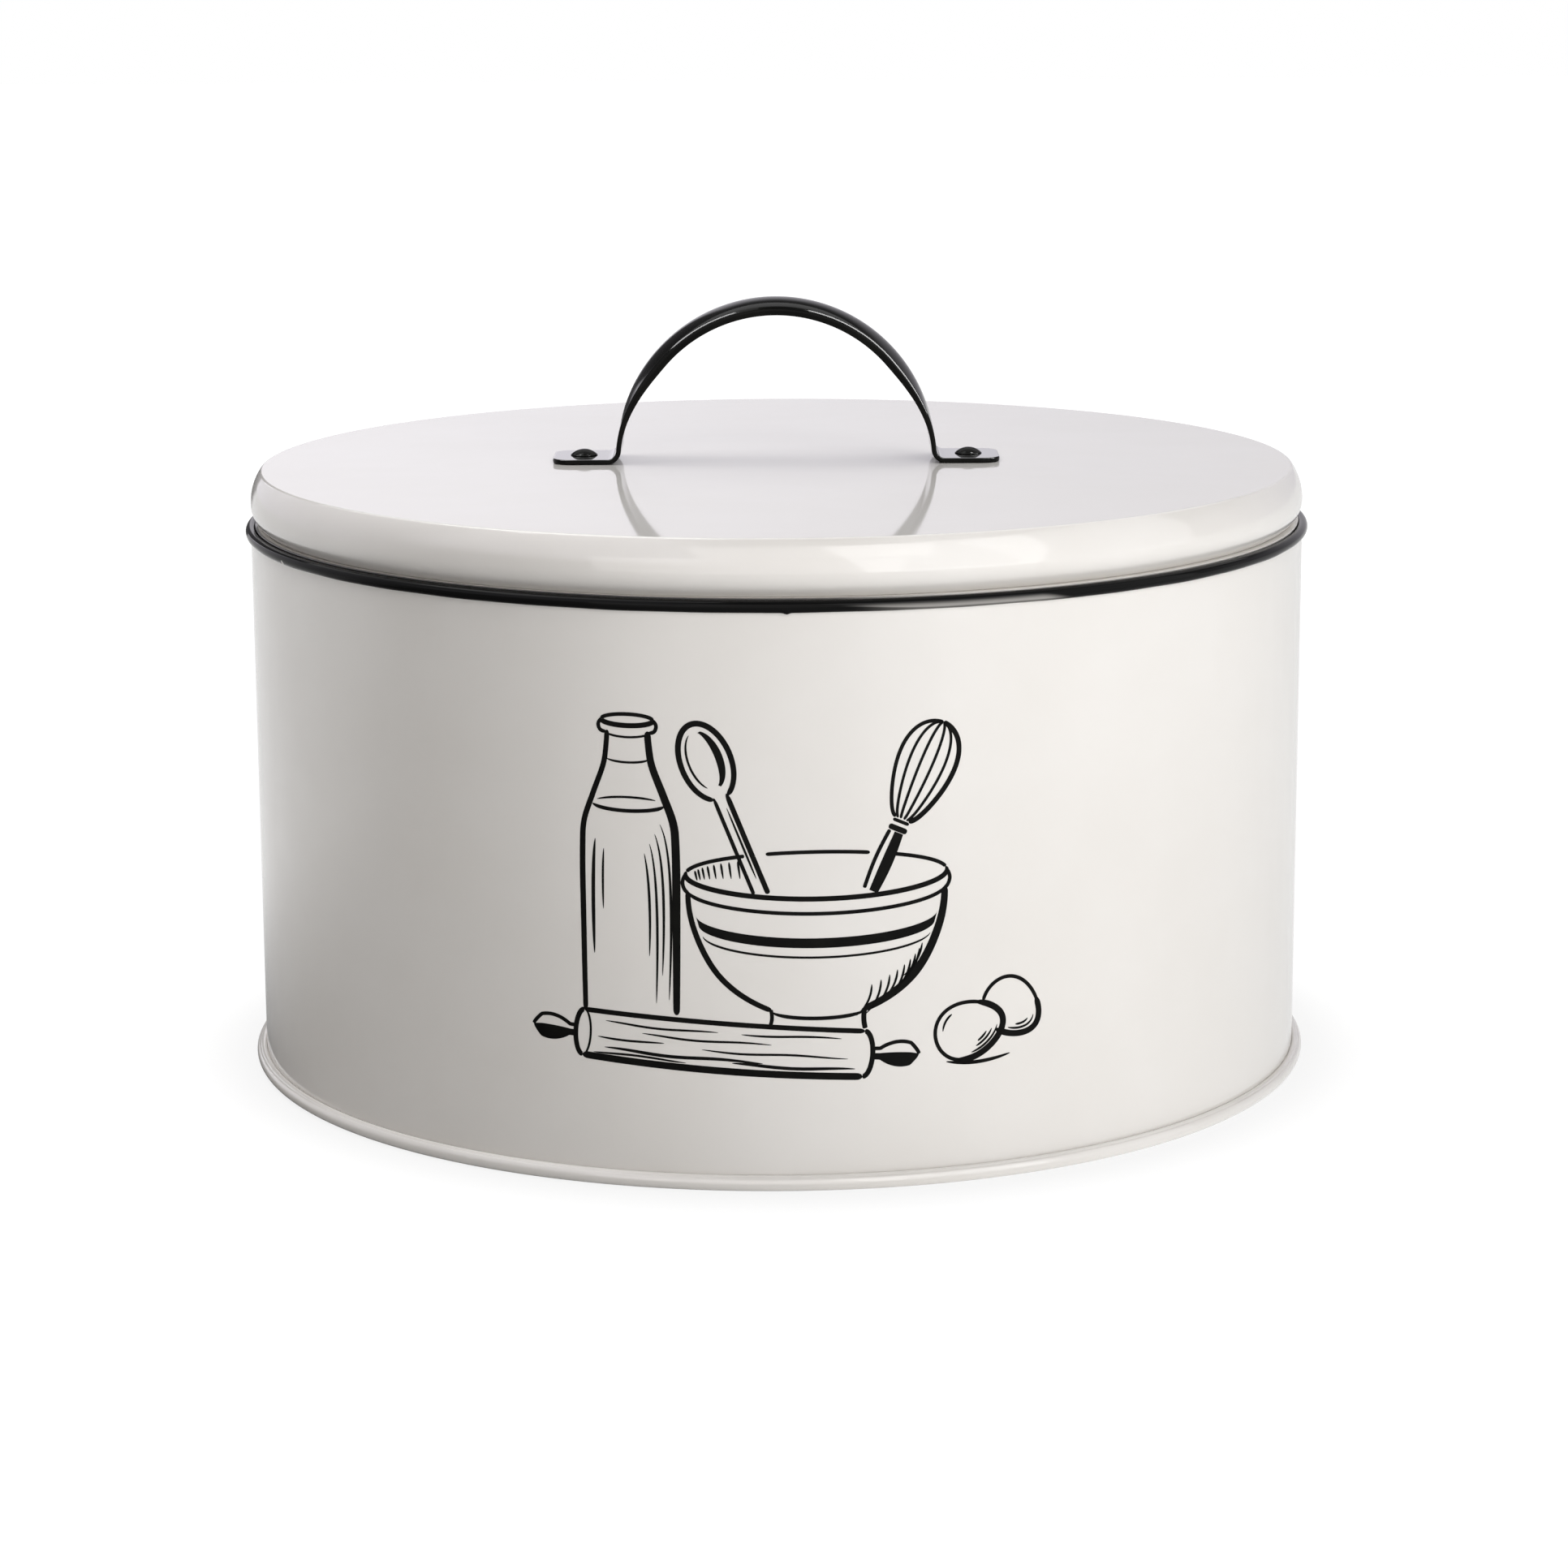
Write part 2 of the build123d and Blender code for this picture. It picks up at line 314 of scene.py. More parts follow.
def math_node(tree, operation, first, second):
    """Result of one operation on two values or sockets."""
    made = tree.nodes.new("ShaderNodeMath")
    made.operation = operation
    for socket, value in zip(made.inputs, (first, second)):
        if isinstance(value, (int, float)):
            socket.default_value = value
        else:
            tree.links.new(value, socket)
    return made.outputs["Value"]


def product(tree, first, *others):
    """Values or sockets multiplied together."""
    for other in others:
        first = math_node(tree, "MULTIPLY", first, other)
    return first


def chosen(tree, share, otherwise, picked):
    """otherwise + share (picked - otherwise)."""
    gap = math_node(tree, "SUBTRACT", picked, otherwise)
    return math_node(tree, "ADD", otherwise, product(tree, share, gap))


def eased(tree, value, low, high, at_low, at_high):
    """Goes smoothly from one level to another while a value crosses a range."""
    made = node(tree, "ShaderNodeMapRange", From_Min=low, From_Max=high, To_Min=at_low, To_Max=at_high)
    made.interpolation_type = "SMOOTHSTEP"
    tree.links.new(value, made.inputs["Value"])
    return made.outputs["Result"]


def distance_node(tree, place, centre):
    """Distance of a place from a fixed point."""
    made = tree.nodes.new("ShaderNodeVectorMath")
    made.operation = "DISTANCE"
    tree.links.new(place, made.inputs[0])
    made.inputs[1].default_value = centre
    return made.outputs["Value"]


def split(tree, place):
    """Sockets of a place's X, Y and Z."""
    made = tree.nodes.new("ShaderNodeSeparateXYZ")
    tree.links.new(place, made.inputs["Vector"])
    return made.outputs


def bearing_node(tree, parts):
    """Angle round the tin's axis, in radians from the front towards the right."""
    return math_node(tree, "ARCTAN2", parts["X"], product(tree, parts["Y"], -1.0))


def noise(tree, place, scale, detail=2.0):
    """Value between 0 and 1 that wanders over the surface."""
    made = node(tree, "ShaderNodeTexNoise", Scale=scale, Detail=detail)
    tree.links.new(place, made.inputs["Vector"])
    return made.outputs["Fac"]


def spread(tree, value, low, high):
    """A wandering value brought between two limits."""
    start, end = NOISE_SPAN
    made = node(tree, "ShaderNodeMapRange", From_Min=start, From_Max=end, To_Min=low, To_Max=high)
    tree.links.new(value, made.inputs["Value"])
    return made.outputs["Result"]


def ramp(tree, value, stops):
    """Colours at chosen places of a value."""
    made = tree.nodes.new("ShaderNodeValToRGB")
    elements = made.color_ramp.elements
    elements[0].position, elements[0].color = stops[0][0], (*stops[0][1], 1)
    elements[1].position, elements[1].color = stops[-1][0], (*stops[-1][1], 1)
    for position, colour in stops[1:-1]:
        elements.new(position).color = (*colour, 1)
    tree.links.new(value, made.inputs["Fac"])
    return made.outputs["Color"]


def mottled(tree, value, colours):
    """Colour that wanders between two."""
    return ramp(tree, value, list(zip(NOISE_SPAN, colours)))


# Finishes
CREAM = (0.79, 0.764, 0.727)
CREAM_CLOUDS = ((0.775, 0.747, 0.708), (0.805, 0.78, 0.746))
# Painted shade on the lid's seat lip, half and full
HALF_SHADED = (0.1, 0.096, 0.09)
FULLY_SHADED = (0.03, 0.029, 0.028)
BLACK_BRUSHING = ((0.004, 0.004, 0.004), (0.008, 0.008, 0.007))
RIM_BLACK = (0.006, 0.006, 0.006)
INK_BLACKS = ((0.003, 0.003, 0.003), (0.006, 0.006, 0.005))
STEEL_GREYS = ((0.5, 0.5, 0.49), (0.68, 0.68, 0.66))
PEEL_DEPTH = 0.0016 * MM
WAVE_DEPTH = 0.05 * MM
BRUSH_DEPTH = 0.002 * MM
RIM_BRUSH_DEPTH = 0.004 * MM
INK_DEPTH = 0.003 * MM
SPANGLE_DEPTH = 0.004 * MM


def new_finish(name, **levels):
    """Material with one Principled shader, its plain levels, and the object's own coordinates."""
    material = bpy.data.materials.new(name)
    material.use_nodes = True
    tree = material.node_tree
    shader = tree.nodes["Principled BSDF"]
    set_levels(shader, {"IOR": 1.5, "Coat_Roughness": 0.05, **levels})
    place = tree.nodes.new("ShaderNodeTexCoord").outputs["Object"]
    return material, tree, shader, place


def dress(tree, shader, colour, roughness, bumps=()):
    """Links a colour, a roughness and bumps as (height, depth in metres), each laid over the next."""
    tree.links.new(colour, shader.inputs["Base Color"])
    tree.links.new(roughness, shader.inputs["Roughness"])
    normal = shader.inputs["Normal"]
    for height, depth in bumps:
        bump = node(tree, "ShaderNodeBump", Strength=1.0, Distance=depth)
        tree.links.new(height, bump.inputs["Height"])
        tree.links.new(bump.outputs["Normal"], normal)
        normal = bump.inputs["Normal"]


def orange_peel(tree, place):
    """Fine unevenness of sprayed enamel."""
    return noise(tree, place, scale=420.0, detail=1.0), PEEL_DEPTH


def cream_enamel():
    """Glossy cream enamel: faint clouding, a little orange peel, and sheet that isn't quite true."""
    material, tree, shader, place = new_finish(
        "cream_enamel", Roughness=0.45, Coat_Weight=1.0, Specular_IOR_Level=0.9,
    )
    colour = mottled(tree, noise(tree, place, scale=22.0, detail=3.0), CREAM_CLOUDS)
    roughness = spread(tree, noise(tree, place, scale=70.0), low=0.42, high=0.5)
    waves = noise(tree, place, scale=14.0, detail=1.0)
    dress(tree, shader, colour, roughness, [orange_peel(tree, place), (waves, WAVE_DEPTH)])
    return material


def seat_painted_shade_enamel():
    """Cream enamel with painted shade: darker on the left where the lid's lip sits on the rim, more with
    the radius.
    """
    material, tree, shader, place = new_finish("seat_painted_shade_enamel", Roughness=0.45, Coat_Weight=0.6)
    parts = split(tree, place)
    flat = tree.nodes.new("ShaderNodeCombineXYZ")
    for way in ("X", "Y"):
        tree.links.new(parts[way], flat.inputs[way])
    radius = distance_node(tree, flat.outputs["Vector"], TIN_FOOT)
    # Painted shade: the lip darkens on the left, where shade falls in the gap under the lid
    painted_shade = product(
        tree,
        eased(tree, radius, SEAT_SHADE_START, FLANGE_RADIUS, 0.0, 1.0),
        eased(tree, bearing_node(tree, parts), *SEAT_SHADE_SIDE, 1.0, 0.0),
    )
    colour = ramp(tree, painted_shade, [(0.0, CREAM), (0.5, HALF_SHADED), (1.0, FULLY_SHADED)])
    roughness = spread(tree, noise(tree, place, scale=120.0), low=0.4, high=0.55)
    dress(tree, shader, colour, roughness, [orange_peel(tree, place)])
    return material


def black_enamel():
    """Glossy black enamel, brushed on a little unevenly."""
    material, tree, shader, place = new_finish("black_enamel", Roughness=0.1, Specular_IOR_Level=0.05)
    colour = mottled(tree, noise(tree, place, scale=90.0, detail=3.0), BLACK_BRUSHING)
    roughness = spread(tree, noise(tree, place, scale=240.0), low=0.05, high=0.1)
    brushing = noise(tree, place, scale=160.0, detail=1.0)
    dress(tree, shader, colour, roughness, [(brushing, BRUSH_DEPTH)])
    return material


def foot_enamel():
    """Black enamel that lies thick and very glossy on the flat of the feet."""
    material, tree, shader, place = new_finish(
        "foot_enamel", Roughness=0.08, Coat_Weight=1.0, Coat_IOR=1.6, Coat_Roughness=0.03,
    )
    colour = mottled(tree, noise(tree, place, scale=90.0, detail=3.0), BLACK_BRUSHING)
    roughness = spread(tree, noise(tree, place, scale=240.0), low=0.05, high=0.09)
    dress(tree, shader, colour, roughness)
    return material


def rim_enamel():
    """Black enamel with a painted reflection, a pale strip low on the right of the front, and one small
    chip.

    The strip fades in under a top edge that drops at its right end, with a darker line along its foot.
    """
    material, tree, shader, place = new_finish("rim_enamel", Roughness=0.1, Specular_IOR_Level=0.06)
    parts = split(tree, place)
    bearing = bearing_node(tree, parts)
    height = math_node(tree, "SUBTRACT", parts["Z"], ROLL_HEIGHT)
    # Painted reflection: a pale strip under a top edge, with a darker line along its foot
    top = eased(tree, bearing, *REFLECTION_END, *STRIP_TOP)
    foot = eased(tree, bearing, *REFLECTION_FOOT, 0.0, STRIP_FOOT)
    under_top = eased(tree, math_node(tree, "SUBTRACT", top, height), 0.0, STRIP_FADE, 0.0, REFLECTION_SHARE)
    over_foot = eased(tree, math_node(tree, "SUBTRACT", height, foot), *STRIP_LINE, 0.0, 1.0)
    strip = product(
        tree,
        under_top,
        chosen(tree, over_foot, eased(tree, bearing, *REFLECTION_FOOT, 0.0, LINE_SHARE), 1.0),
        eased(tree, bearing, *REFLECTION_START, 0.0, 1.0),
        eased(tree, bearing, *REFLECTION_END, 1.0, 0.0),
    )
    chip = eased(tree, distance_node(tree, place, CHIP_PLACE), *CHIP_SIZE, CHIP_SHARE, 0.0)
    colour = ramp(tree, math_node(tree, "MAXIMUM", strip, chip), [(0.0, RIM_BLACK), (1.0, CREAM)])
    roughness = spread(tree, noise(tree, place, scale=240.0), low=0.05, high=0.1)
    brushing = noise(tree, place, scale=300.0, detail=1.0)
    dress(tree, shader, colour, roughness, [(brushing, RIM_BRUSH_DEPTH)])
    return material


def print_ink():
    """Satin black ink, laid on a little thinner in places."""
    material, tree, shader, place = new_finish("print_ink", Roughness=0.4, Specular_IOR_Level=0.06)
    colour = mottled(tree, noise(tree, place, scale=160.0, detail=3.0), INK_BLACKS)
    roughness = spread(tree, noise(tree, place, scale=300.0), low=0.34, high=0.46)
    dress(tree, shader, colour, roughness, [(noise(tree, place, scale=900.0), INK_DEPTH)])
    return material


def washer_steel():
    """Zinc-plated steel with a fine spangle."""
    material, tree, shader, place = new_finish("washer_steel", Roughness=0.35, Metallic=1.0)
    spangle = noise(tree, place, scale=900.0, detail=4.0)
    roughness = spread(tree, spangle, low=0.28, high=0.45)
    dress(tree, shader, mottled(tree, spangle, STEEL_GREYS), roughness, [(spangle, SPANGLE_DEPTH)])
    return material


# Body
def body_wall(material):
    """Sheet cylinder: a rounded outline turned about the axis, raised in a band over the back seam."""
    outline = rounded_outline(
        [
            (WALL_RADIUS - WALL_SHEET, WALL_FOOT),
            (WALL_RADIUS, WALL_FOOT),
            (WALL_RADIUS, WALL_TOP),
            (WALL_RADIUS - WALL_SHEET, WALL_TOP),
        ],
        EDGE_ROUND, arc_steps=4, run_steps=30,
    )
    near_seam = BACK_TURN + np.linspace(-SEAM_REACH, SEAM_REACH, SEAM_STEPS) * SEAM_WIDTH / WALL_RADIUS
    turn = np.unique(np.concatenate([full_turn(ROUND_STEPS), near_seam]))
    off_seam = WALL_RADIUS * np.abs(turn - BACK_TURN)[:, None]
    across = smooth_step((SEAM_WIDTH / 2 - off_seam) / SEAM_SHOULDER)
    from_end = np.minimum(outline[:, 1] - base_high.z, roll_low.z - outline[:, 1])
    outside = outline[:, 0] > WALL_RADIUS - WALL_SHEET / 2
    along = smooth_step((from_end - SEAM_CLEAR) / SEAM_INSET) * outside
    radius = outline[:, 0] + SEAM_PROUD * across * along
    return turned_piece("tin_wall", radius, outline[:, 1], turn, material)


def rim_roll(material):
    """Round section with a slot for the wall, carried round the rim, with a drip and a faint ripple."""
    slot_in = WALL_RADIUS - WALL_SHEET - FIT_GAP - ROLL_CENTRE
    slot_out = WALL_RADIUS + FIT_GAP - ROLL_CENTRE
    first = -np.degrees(np.arccos(slot_out / ROLL_RADIUS))
    last = 360 - np.degrees(np.arccos(slot_in / ROLL_RADIUS))
    section = arc_points((0.0, 0.0), ROLL_RADIUS, first, last, steps=40)
    slot_top = ROLL_GRIP - ROLL_RADIUS
    slot = np.array([(slot_in, slot_top), (slot_out, slot_top)])
    section = np.concatenate([section, slot])
    near_drip = FRONT_TURN + np.linspace(-DRIP_REACH, DRIP_REACH, DRIP_STEPS) * DRIP_WIDTH / ROLL_CENTRE
    near_drip = near_drip + DRIP_PLACE / ROLL_CENTRE
    turn = np.unique(np.concatenate([full_turn(2 * ROUND_STEPS), near_drip]))
    from_drip = (turn - FRONT_TURN) * ROLL_CENTRE - DRIP_PLACE
    hang = np.exp(-((from_drip / DRIP_WIDTH) ** 2))[:, None]
    out_and_down = (section[:, 0] - section[:, 1]) / ROLL_RADIUS
    low_outside = smooth_step(out_and_down - HANG_START) * (section[:, 0] > 0)
    ripple = ROLL_RIPPLE * sum(np.sin(waves * turn + start) for waves, start in RIPPLES)[:, None]
    height = section[:, 1] - (DRIP_DEPTH * hang + ripple) * low_outside
    return turned_piece("tin_rim", ROLL_CENTRE + section[:, 0], ROLL_HEIGHT + height, turn, material)


def base_plate(material):
    """Recessed floor and a folded bead: the bead's circle has a shallow line where the fold ends."""
    slot_in = WALL_RADIUS - WALL_SHEET - FIT_GAP
    slot_out = WALL_RADIUS + FIT_GAP
    heel_inside = slot_in - WALL_SHEET
    floor_top = FLOOR_RECESS + WALL_SHEET
    bead_turn = np.linspace(90.0, -90.0, BEAD_STEPS)
    fold = FOLD_DEPTH * np.exp(-(((bead_turn - FOLD_ANGLE) / FOLD_SPREAD) ** 2))
    bead = np.stack([
        BEAD_CENTRE + (BEAD_RADIUS - fold) * np.cos(np.radians(bead_turn)),
        BEAD_RADIUS + (BEAD_RADIUS - fold) * np.sin(np.radians(bead_turn)),
    ], -1)
    heel = (heel_inside + HEEL_ROUND, HEEL_ROUND)
    outline = np.concatenate([
        straight_points((0.0, floor_top), (slot_in, floor_top), steps=24),
        straight_points((slot_in, floor_top), (slot_in, BEAD_WEB), steps=5),
        straight_points((slot_in, BEAD_WEB), (slot_out, BEAD_WEB), steps=5),
        straight_points((slot_out, BEAD_WEB), (slot_out, base_high.z - EDGE_ROUND), steps=6),
        bead,
        arc_points(heel, HEEL_ROUND, 270, 180, steps=9),
        straight_points((heel_inside, HEEL_ROUND), (heel_inside, FLOOR_RECESS), steps=6),
        straight_points((heel_inside, FLOOR_RECESS), (0.0, FLOOR_RECESS), steps=24),
    ])
    return turned_piece("tin_base", outline[:, 0], outline[:, 1], full_turn(ROUND_STEPS), material)


# Lid
WIDEST = LID_SEAT + SIDE_LOW_RADIUS * np.sin(np.radians(SIDE_LOW_SWEEP))
CREASE_PLACE = LID_RADIUS - SIDE_HIGH_RADIUS * (1 - np.cos(np.radians(SIDE_HIGH_SWEEP)))
CREASE_HEIGHT = WIDEST + SIDE_HIGH_RADIUS * np.sin(np.radians(SIDE_HIGH_SWEEP))
DOME_RISE = DOME_TOP - CREASE_HEIGHT
DOME_RADIUS = (CREASE_PLACE**2 + DOME_RISE**2) / (2 * DOME_RISE)


def crease_centre(inset):
    """Centre of the crease's round: where circles that far inside the dome and the side cross."""
    low = np.array([0.0, DOME_TOP - DOME_RADIUS])
    side = np.array([LID_RADIUS - SIDE_HIGH_RADIUS, WIDEST])
    low_radius = DOME_RADIUS - inset
    side_radius = SIDE_HIGH_RADIUS - inset
    apart = np.linalg.norm(side - low)
    towards = (side - low) / apart
    along = (apart**2 + low_radius**2 - side_radius**2) / (2 * apart)
    across = np.sqrt(low_radius**2 - along**2)
    return low + along * towards + across * np.array([towards[1], -towards[0]])


def lid_skin(inset):
    """Dome, crease and both arcs of the side, from the axis to the seat, that far inside the outer skin."""
    dome_low = np.array([0.0, DOME_TOP - DOME_RADIUS])
    high = np.array([LID_RADIUS - SIDE_HIGH_RADIUS, WIDEST])
    low = np.array([LID_RADIUS - SIDE_LOW_RADIUS, WIDEST])
    crease = crease_centre(CREASE_ROUND)
    dome_angle = np.degrees(np.arctan2(*(crease - dome_low)[::-1]))
    side_angle = np.degrees(np.arctan2(*(crease - high)[::-1]))
    share = np.sin(np.linspace(0.0, np.pi / 2, DOME_STEPS))
    dome_turn = np.radians(90.0 + (dome_angle - 90.0) * share)
    dome = dome_low + (DOME_RADIUS - inset) * np.stack([np.cos(dome_turn), np.sin(dome_turn)], -1)
    dome[0, 0] = 0.0
    low_end = -np.degrees(np.arcsin((WIDEST - LID_SEAT) / (SIDE_LOW_RADIUS - inset)))
    return np.concatenate([
        dome,
        arc_points(crease, CREASE_ROUND - inset, dome_angle, side_angle, steps=14)[1:],
        arc_points(high, SIDE_HIGH_RADIUS - inset, side_angle, 0, steps=22)[1:],
        arc_points(low, SIDE_LOW_RADIUS - inset, 0, low_end, steps=18)[1:],
    ])


def lid_panel(material):
    """Pressed lid: its outer skin and its inner skin, one sheet apart, turned about the axis."""
    outline = np.concatenate([lid_skin(0.0), lid_skin(LID_SHEET)[::-1]])
    return turned_piece("lid_top", outline[:, 0], outline[:, 1], full_turn(ROUND_STEPS), material)


def lid_neck(material):
    """Seat flange and hemmed skirt: a rounded outline turned about the axis."""
    flange_under = LID_SEAT - LID_SHEET
    skirt_inside = SKIRT_RADIUS - LID_SHEET
    hem_inside = skirt_inside - LID_SHEET
    hem_top = SKIRT_FOOT + HEM_HEIGHT
    outline = rounded_outline(
        [
            (FLANGE_INSIDE, flange_under),
            (skirt_inside, flange_under),
            (skirt_inside, hem_top),
            (hem_inside, hem_top),
            (hem_inside, SKIRT_FOOT),
            (SKIRT_RADIUS, SKIRT_FOOT),
            (SKIRT_RADIUS, flange_under),
            (FLANGE_RADIUS, flange_under),
            (FLANGE_RADIUS, LID_SEAT),
            (FLANGE_INSIDE, LID_SEAT),
        ],
        EDGE_ROUND, arc_steps=5, run_steps=8,
    )
    return turned_piece("lid_neck_ring", outline[:, 0], outline[:, 1], full_turn(ROUND_STEPS), material)


# Handle
FOOT_TOP = FOOT_UNDER + STRAP_THICKNESS
ARCH_CENTRE = STRAP_TOP - ARCH_RADIUS
BEND_HEIGHT = FOOT_TOP + FOOT_BEND
LEG_ANGLE = np.degrees(np.arcsin((BEND_HEIGHT - ARCH_CENTRE) / (ARCH_RADIUS + FOOT_BEND)))
BEND_PLACE = (ARCH_RADIUS + FOOT_BEND) * np.cos(np.radians(LEG_ANGLE))


def strap_back():
    """Back of the strap from the right foot to the left: places, outward normals, press and end room.

    A straight foot, a circle about the bend, the arch's circle, and the bend and the foot again mirrored.
    """
    from_end = np.concatenate([
        BACK_ROUND * (1 - np.cos(np.linspace(0.0, np.pi / 2, END_STEPS))),
        FOOT_CORNER * (1 - np.cos(np.linspace(0.0, np.pi / 2, CORNER_STEPS)))[CORNER_SKIP:],
    ])
    from_end = np.unique(np.append(from_end, np.linspace(FOOT_CORNER, FOOT_END - BEND_PLACE, FOOT_STEPS)))
    foot = np.stack([FOOT_END - from_end, np.full_like(from_end, FOOT_TOP)], -1)
    foot_normal = np.broadcast_to([0.0, 1.0], foot.shape)
    bend_turn = np.linspace(270.0, 180.0 + LEG_ANGLE, BEND_STEPS)[1:]
    bend = arc_points((BEND_PLACE, BEND_HEIGHT), FOOT_BEND, 270.0, 180.0 + LEG_ANGLE, BEND_STEPS)[1:]
    bend_normal = -np.stack([np.cos(np.radians(bend_turn)), np.sin(np.radians(bend_turn))], -1)
    arch_turn = np.linspace(LEG_ANGLE, 180.0 - LEG_ANGLE, ARCH_STEPS)[1:-1]
    arch = arc_points((0.0, ARCH_CENTRE), ARCH_RADIUS, arch_turn[0], arch_turn[-1], len(arch_turn))
    arch_normal = np.stack([np.cos(np.radians(arch_turn)), np.sin(np.radians(arch_turn))], -1)
    mirror = np.array([-1.0, 1.0])
    places = np.concatenate([foot, bend, arch, bend[::-1] * mirror, foot[::-1] * mirror])
    normals = np.concatenate([
        foot_normal, bend_normal, arch_normal, bend_normal[::-1] * mirror, foot_normal[::-1] * mirror,
    ])
    to_leg = np.minimum(arch_turn - LEG_ANGLE, 180.0 - LEG_ANGLE - arch_turn)
    flat = np.zeros(len(foot) + len(bend))
    press = np.concatenate([flat, smooth_step(to_leg / ARCH_BLEND), flat])
    far = np.ones(len(places) - 2 * len(from_end))
    room = np.concatenate([from_end, far, from_end[::-1]])
    return places, normals, press, room


def running_sum(steps):
    """Sum up to each column by the trapezium rule, from 0 at the first."""
    middles = (steps[:, 1:] + steps[:, :-1]) / 2
    return np.concatenate([np.zeros((len(steps), 1)), np.cumsum(middles, axis=1)], axis=1)


def strap_section(half, crown, belly_drop, back_inset, belly_inset, bevel):
    """Right half of the strap's section, from the middle of its back to the middle of its belly.

    At a share s of the half width, the back is at -crown s2 and the belly at -thickness - belly_drop s2.
    Each meets the upright edge in a circle, and the back's one grows slack about the bevel's lean:
    radius = round + bevel exp(-((lean - middle)/spread)2). All arguments are columns with one row for
    each place along the strap.
    """
    def back(a):
        return -back_inset - crown * (a / half) ** 2

    def belly(a):
        return -STRAP_THICKNESS + belly_inset - belly_drop * (a / half) ** 2

    back_round = np.minimum(BACK_ROUND, ROUND_SHARE * (STRAP_THICKNESS - back_inset - belly_inset))
    belly_round = np.minimum(BELLY_ROUND, back_round)
    back_lean = np.arctan(2 * crown / half)
    belly_lean = np.arctan(2 * belly_drop / half)
    turn = (np.pi / 2 - back_lean) * (1 - np.linspace(0.0, 1.0, BEVEL_STEPS))
    slack = np.exp(-(((turn - np.radians(BEVEL_LEAN)) / np.radians(BEVEL_SPREAD)) ** 2))
    swing = (back_round + bevel * slack) * (np.pi / 2 - back_lean) / (BEVEL_STEPS - 1)
    run_a = running_sum(swing * np.sin(turn))
    run_b = running_sum(swing * np.cos(turn))
    touch = half - run_a[:, -1:]
    back_a = touch + run_a
    back_b = back(touch) - run_b
    low_turn = -(np.pi / 2 + belly_lean) * np.linspace(0.0, 1.0, BELLY_STEPS)
    low_touch = half - belly_round - belly_round * np.sin(belly_lean)
    low_centre = belly(low_touch) + belly_round * np.cos(belly_lean)
    belly_a = half - belly_round + belly_round * np.cos(low_turn)
    belly_b = low_centre + belly_round * np.sin(low_turn)
    out = np.sin(np.linspace(0.0, np.pi / 2, BACK_STEPS))[:-1]
    top_a = out * touch
    under_a = out[::-1] * low_touch
    across = np.concatenate([top_a, back_a, belly_a, under_a], axis=1)
    up = np.concatenate([back(top_a), back_b, belly_b, belly(under_a)], axis=1)
    return across, up


def handle_strap(material, foot_finish):
    """Strap: the section carried along the back line, narrowed and thinned to round ends at the feet.

    The flat tops of the feet take their own finish.
    """
    places, normals, press, room = strap_back()
    corner = np.clip(FOOT_CORNER - room, 0.0, None)
    half = STRAP_WIDTH / 2 - FOOT_CORNER + np.sqrt(FOOT_CORNER**2 - corner**2)
    edge = np.clip(BACK_ROUND - room, 0.0, None)
    inset = BACK_ROUND - np.sqrt(BACK_ROUND**2 - edge**2)
    crown = ARCH_CROWN * press
    drop = (ARCH_CROWN + ARCH_EDGE_DROP) * press
    columns = [value[:, None] for value in (half, crown, drop, inset, inset, BEVEL_ROUND * press)]
    across, up = strap_section(*columns)
    across = np.concatenate([across, -across[:, ::-1]], axis=1)
    up = np.concatenate([up, up[:, ::-1]], axis=1)
    x = places[:, :1] + normals[:, :1] * up
    z = places[:, 1:] + normals[:, 1:] * up
    points = np.stack([x, across, z], -1)
    ends = points[[0, -1]].mean(axis=1, keepdims=True)
    caps = np.broadcast_to(ends, (2, *points.shape[1:]))
    points = np.concatenate([caps[:1], points, caps[1:]])
    rows, count = points.shape[:2]
    piece = add_piece("handle_band", points.reshape(-1, 3), grid_faces(rows, count, False, True), material)
    piece.data.materials.append(foot_finish)
    faces = piece.data.polygons
    normal = np.empty(len(faces) * 3)
    faces.foreach_get("normal", normal)
    middle = np.empty(len(faces) * 3)
    faces.foreach_get("center", middle)
    top = (normal[2::3] > FLAT_ENOUGH) & (middle[2::3] < FOOT_TOP + FOOT_BEND)
    faces.foreach_set("material_index", top.astype(np.int32))
    return piece


def cap_points(half_width, rise, foot, steps):
    """Spherical cap from the axis to its foot circle, as (radius, height); a rise below 0 hangs down."""
    ball = (half_width**2 + rise**2) / (2 * abs(rise))
    lean = np.linspace(0.0, np.arcsin(half_width / ball), steps)
    return np.stack([ball * np.sin(lean), foot + rise - np.sign(rise) * ball * (1 - np.cos(lean))], -1)


def rivet(name, side, material):
    """Domed head with a thin brim, shank and low domed tail, turned about the rivet's own axis."""
    tail_top = rivet_low.z + TAIL_HEIGHT
    brim = FOOT_TOP + RIVET_BRIM
    outline = np.concatenate([
        cap_points(RIVET_HEAD - RIVET_BRIM / 2, rivet_high.z - brim, brim, steps=20),
        arc_points((RIVET_HEAD - RIVET_BRIM / 2, brim - RIVET_BRIM / 2), RIVET_BRIM / 2, 75, -90, steps=8),
        straight_points((RIVET_HEAD - RIVET_BRIM, FOOT_TOP), (SHANK_RADIUS, FOOT_TOP), steps=5),
        straight_points((SHANK_RADIUS, FOOT_TOP), (SHANK_RADIUS, tail_top), steps=6),
        straight_points((SHANK_RADIUS, tail_top), (TAIL_RADIUS - EDGE_ROUND, tail_top), steps=5),
        cap_points(TAIL_RADIUS, -TAIL_HEIGHT, tail_top, steps=16)[::-1],
    ])
    outline[[0, -1], 0] = 0.0
    turn = full_turn(SMALL_STEPS)
    return turned_piece(name, outline[:, 0], outline[:, 1], turn, material, side * RIVET_PLACE)


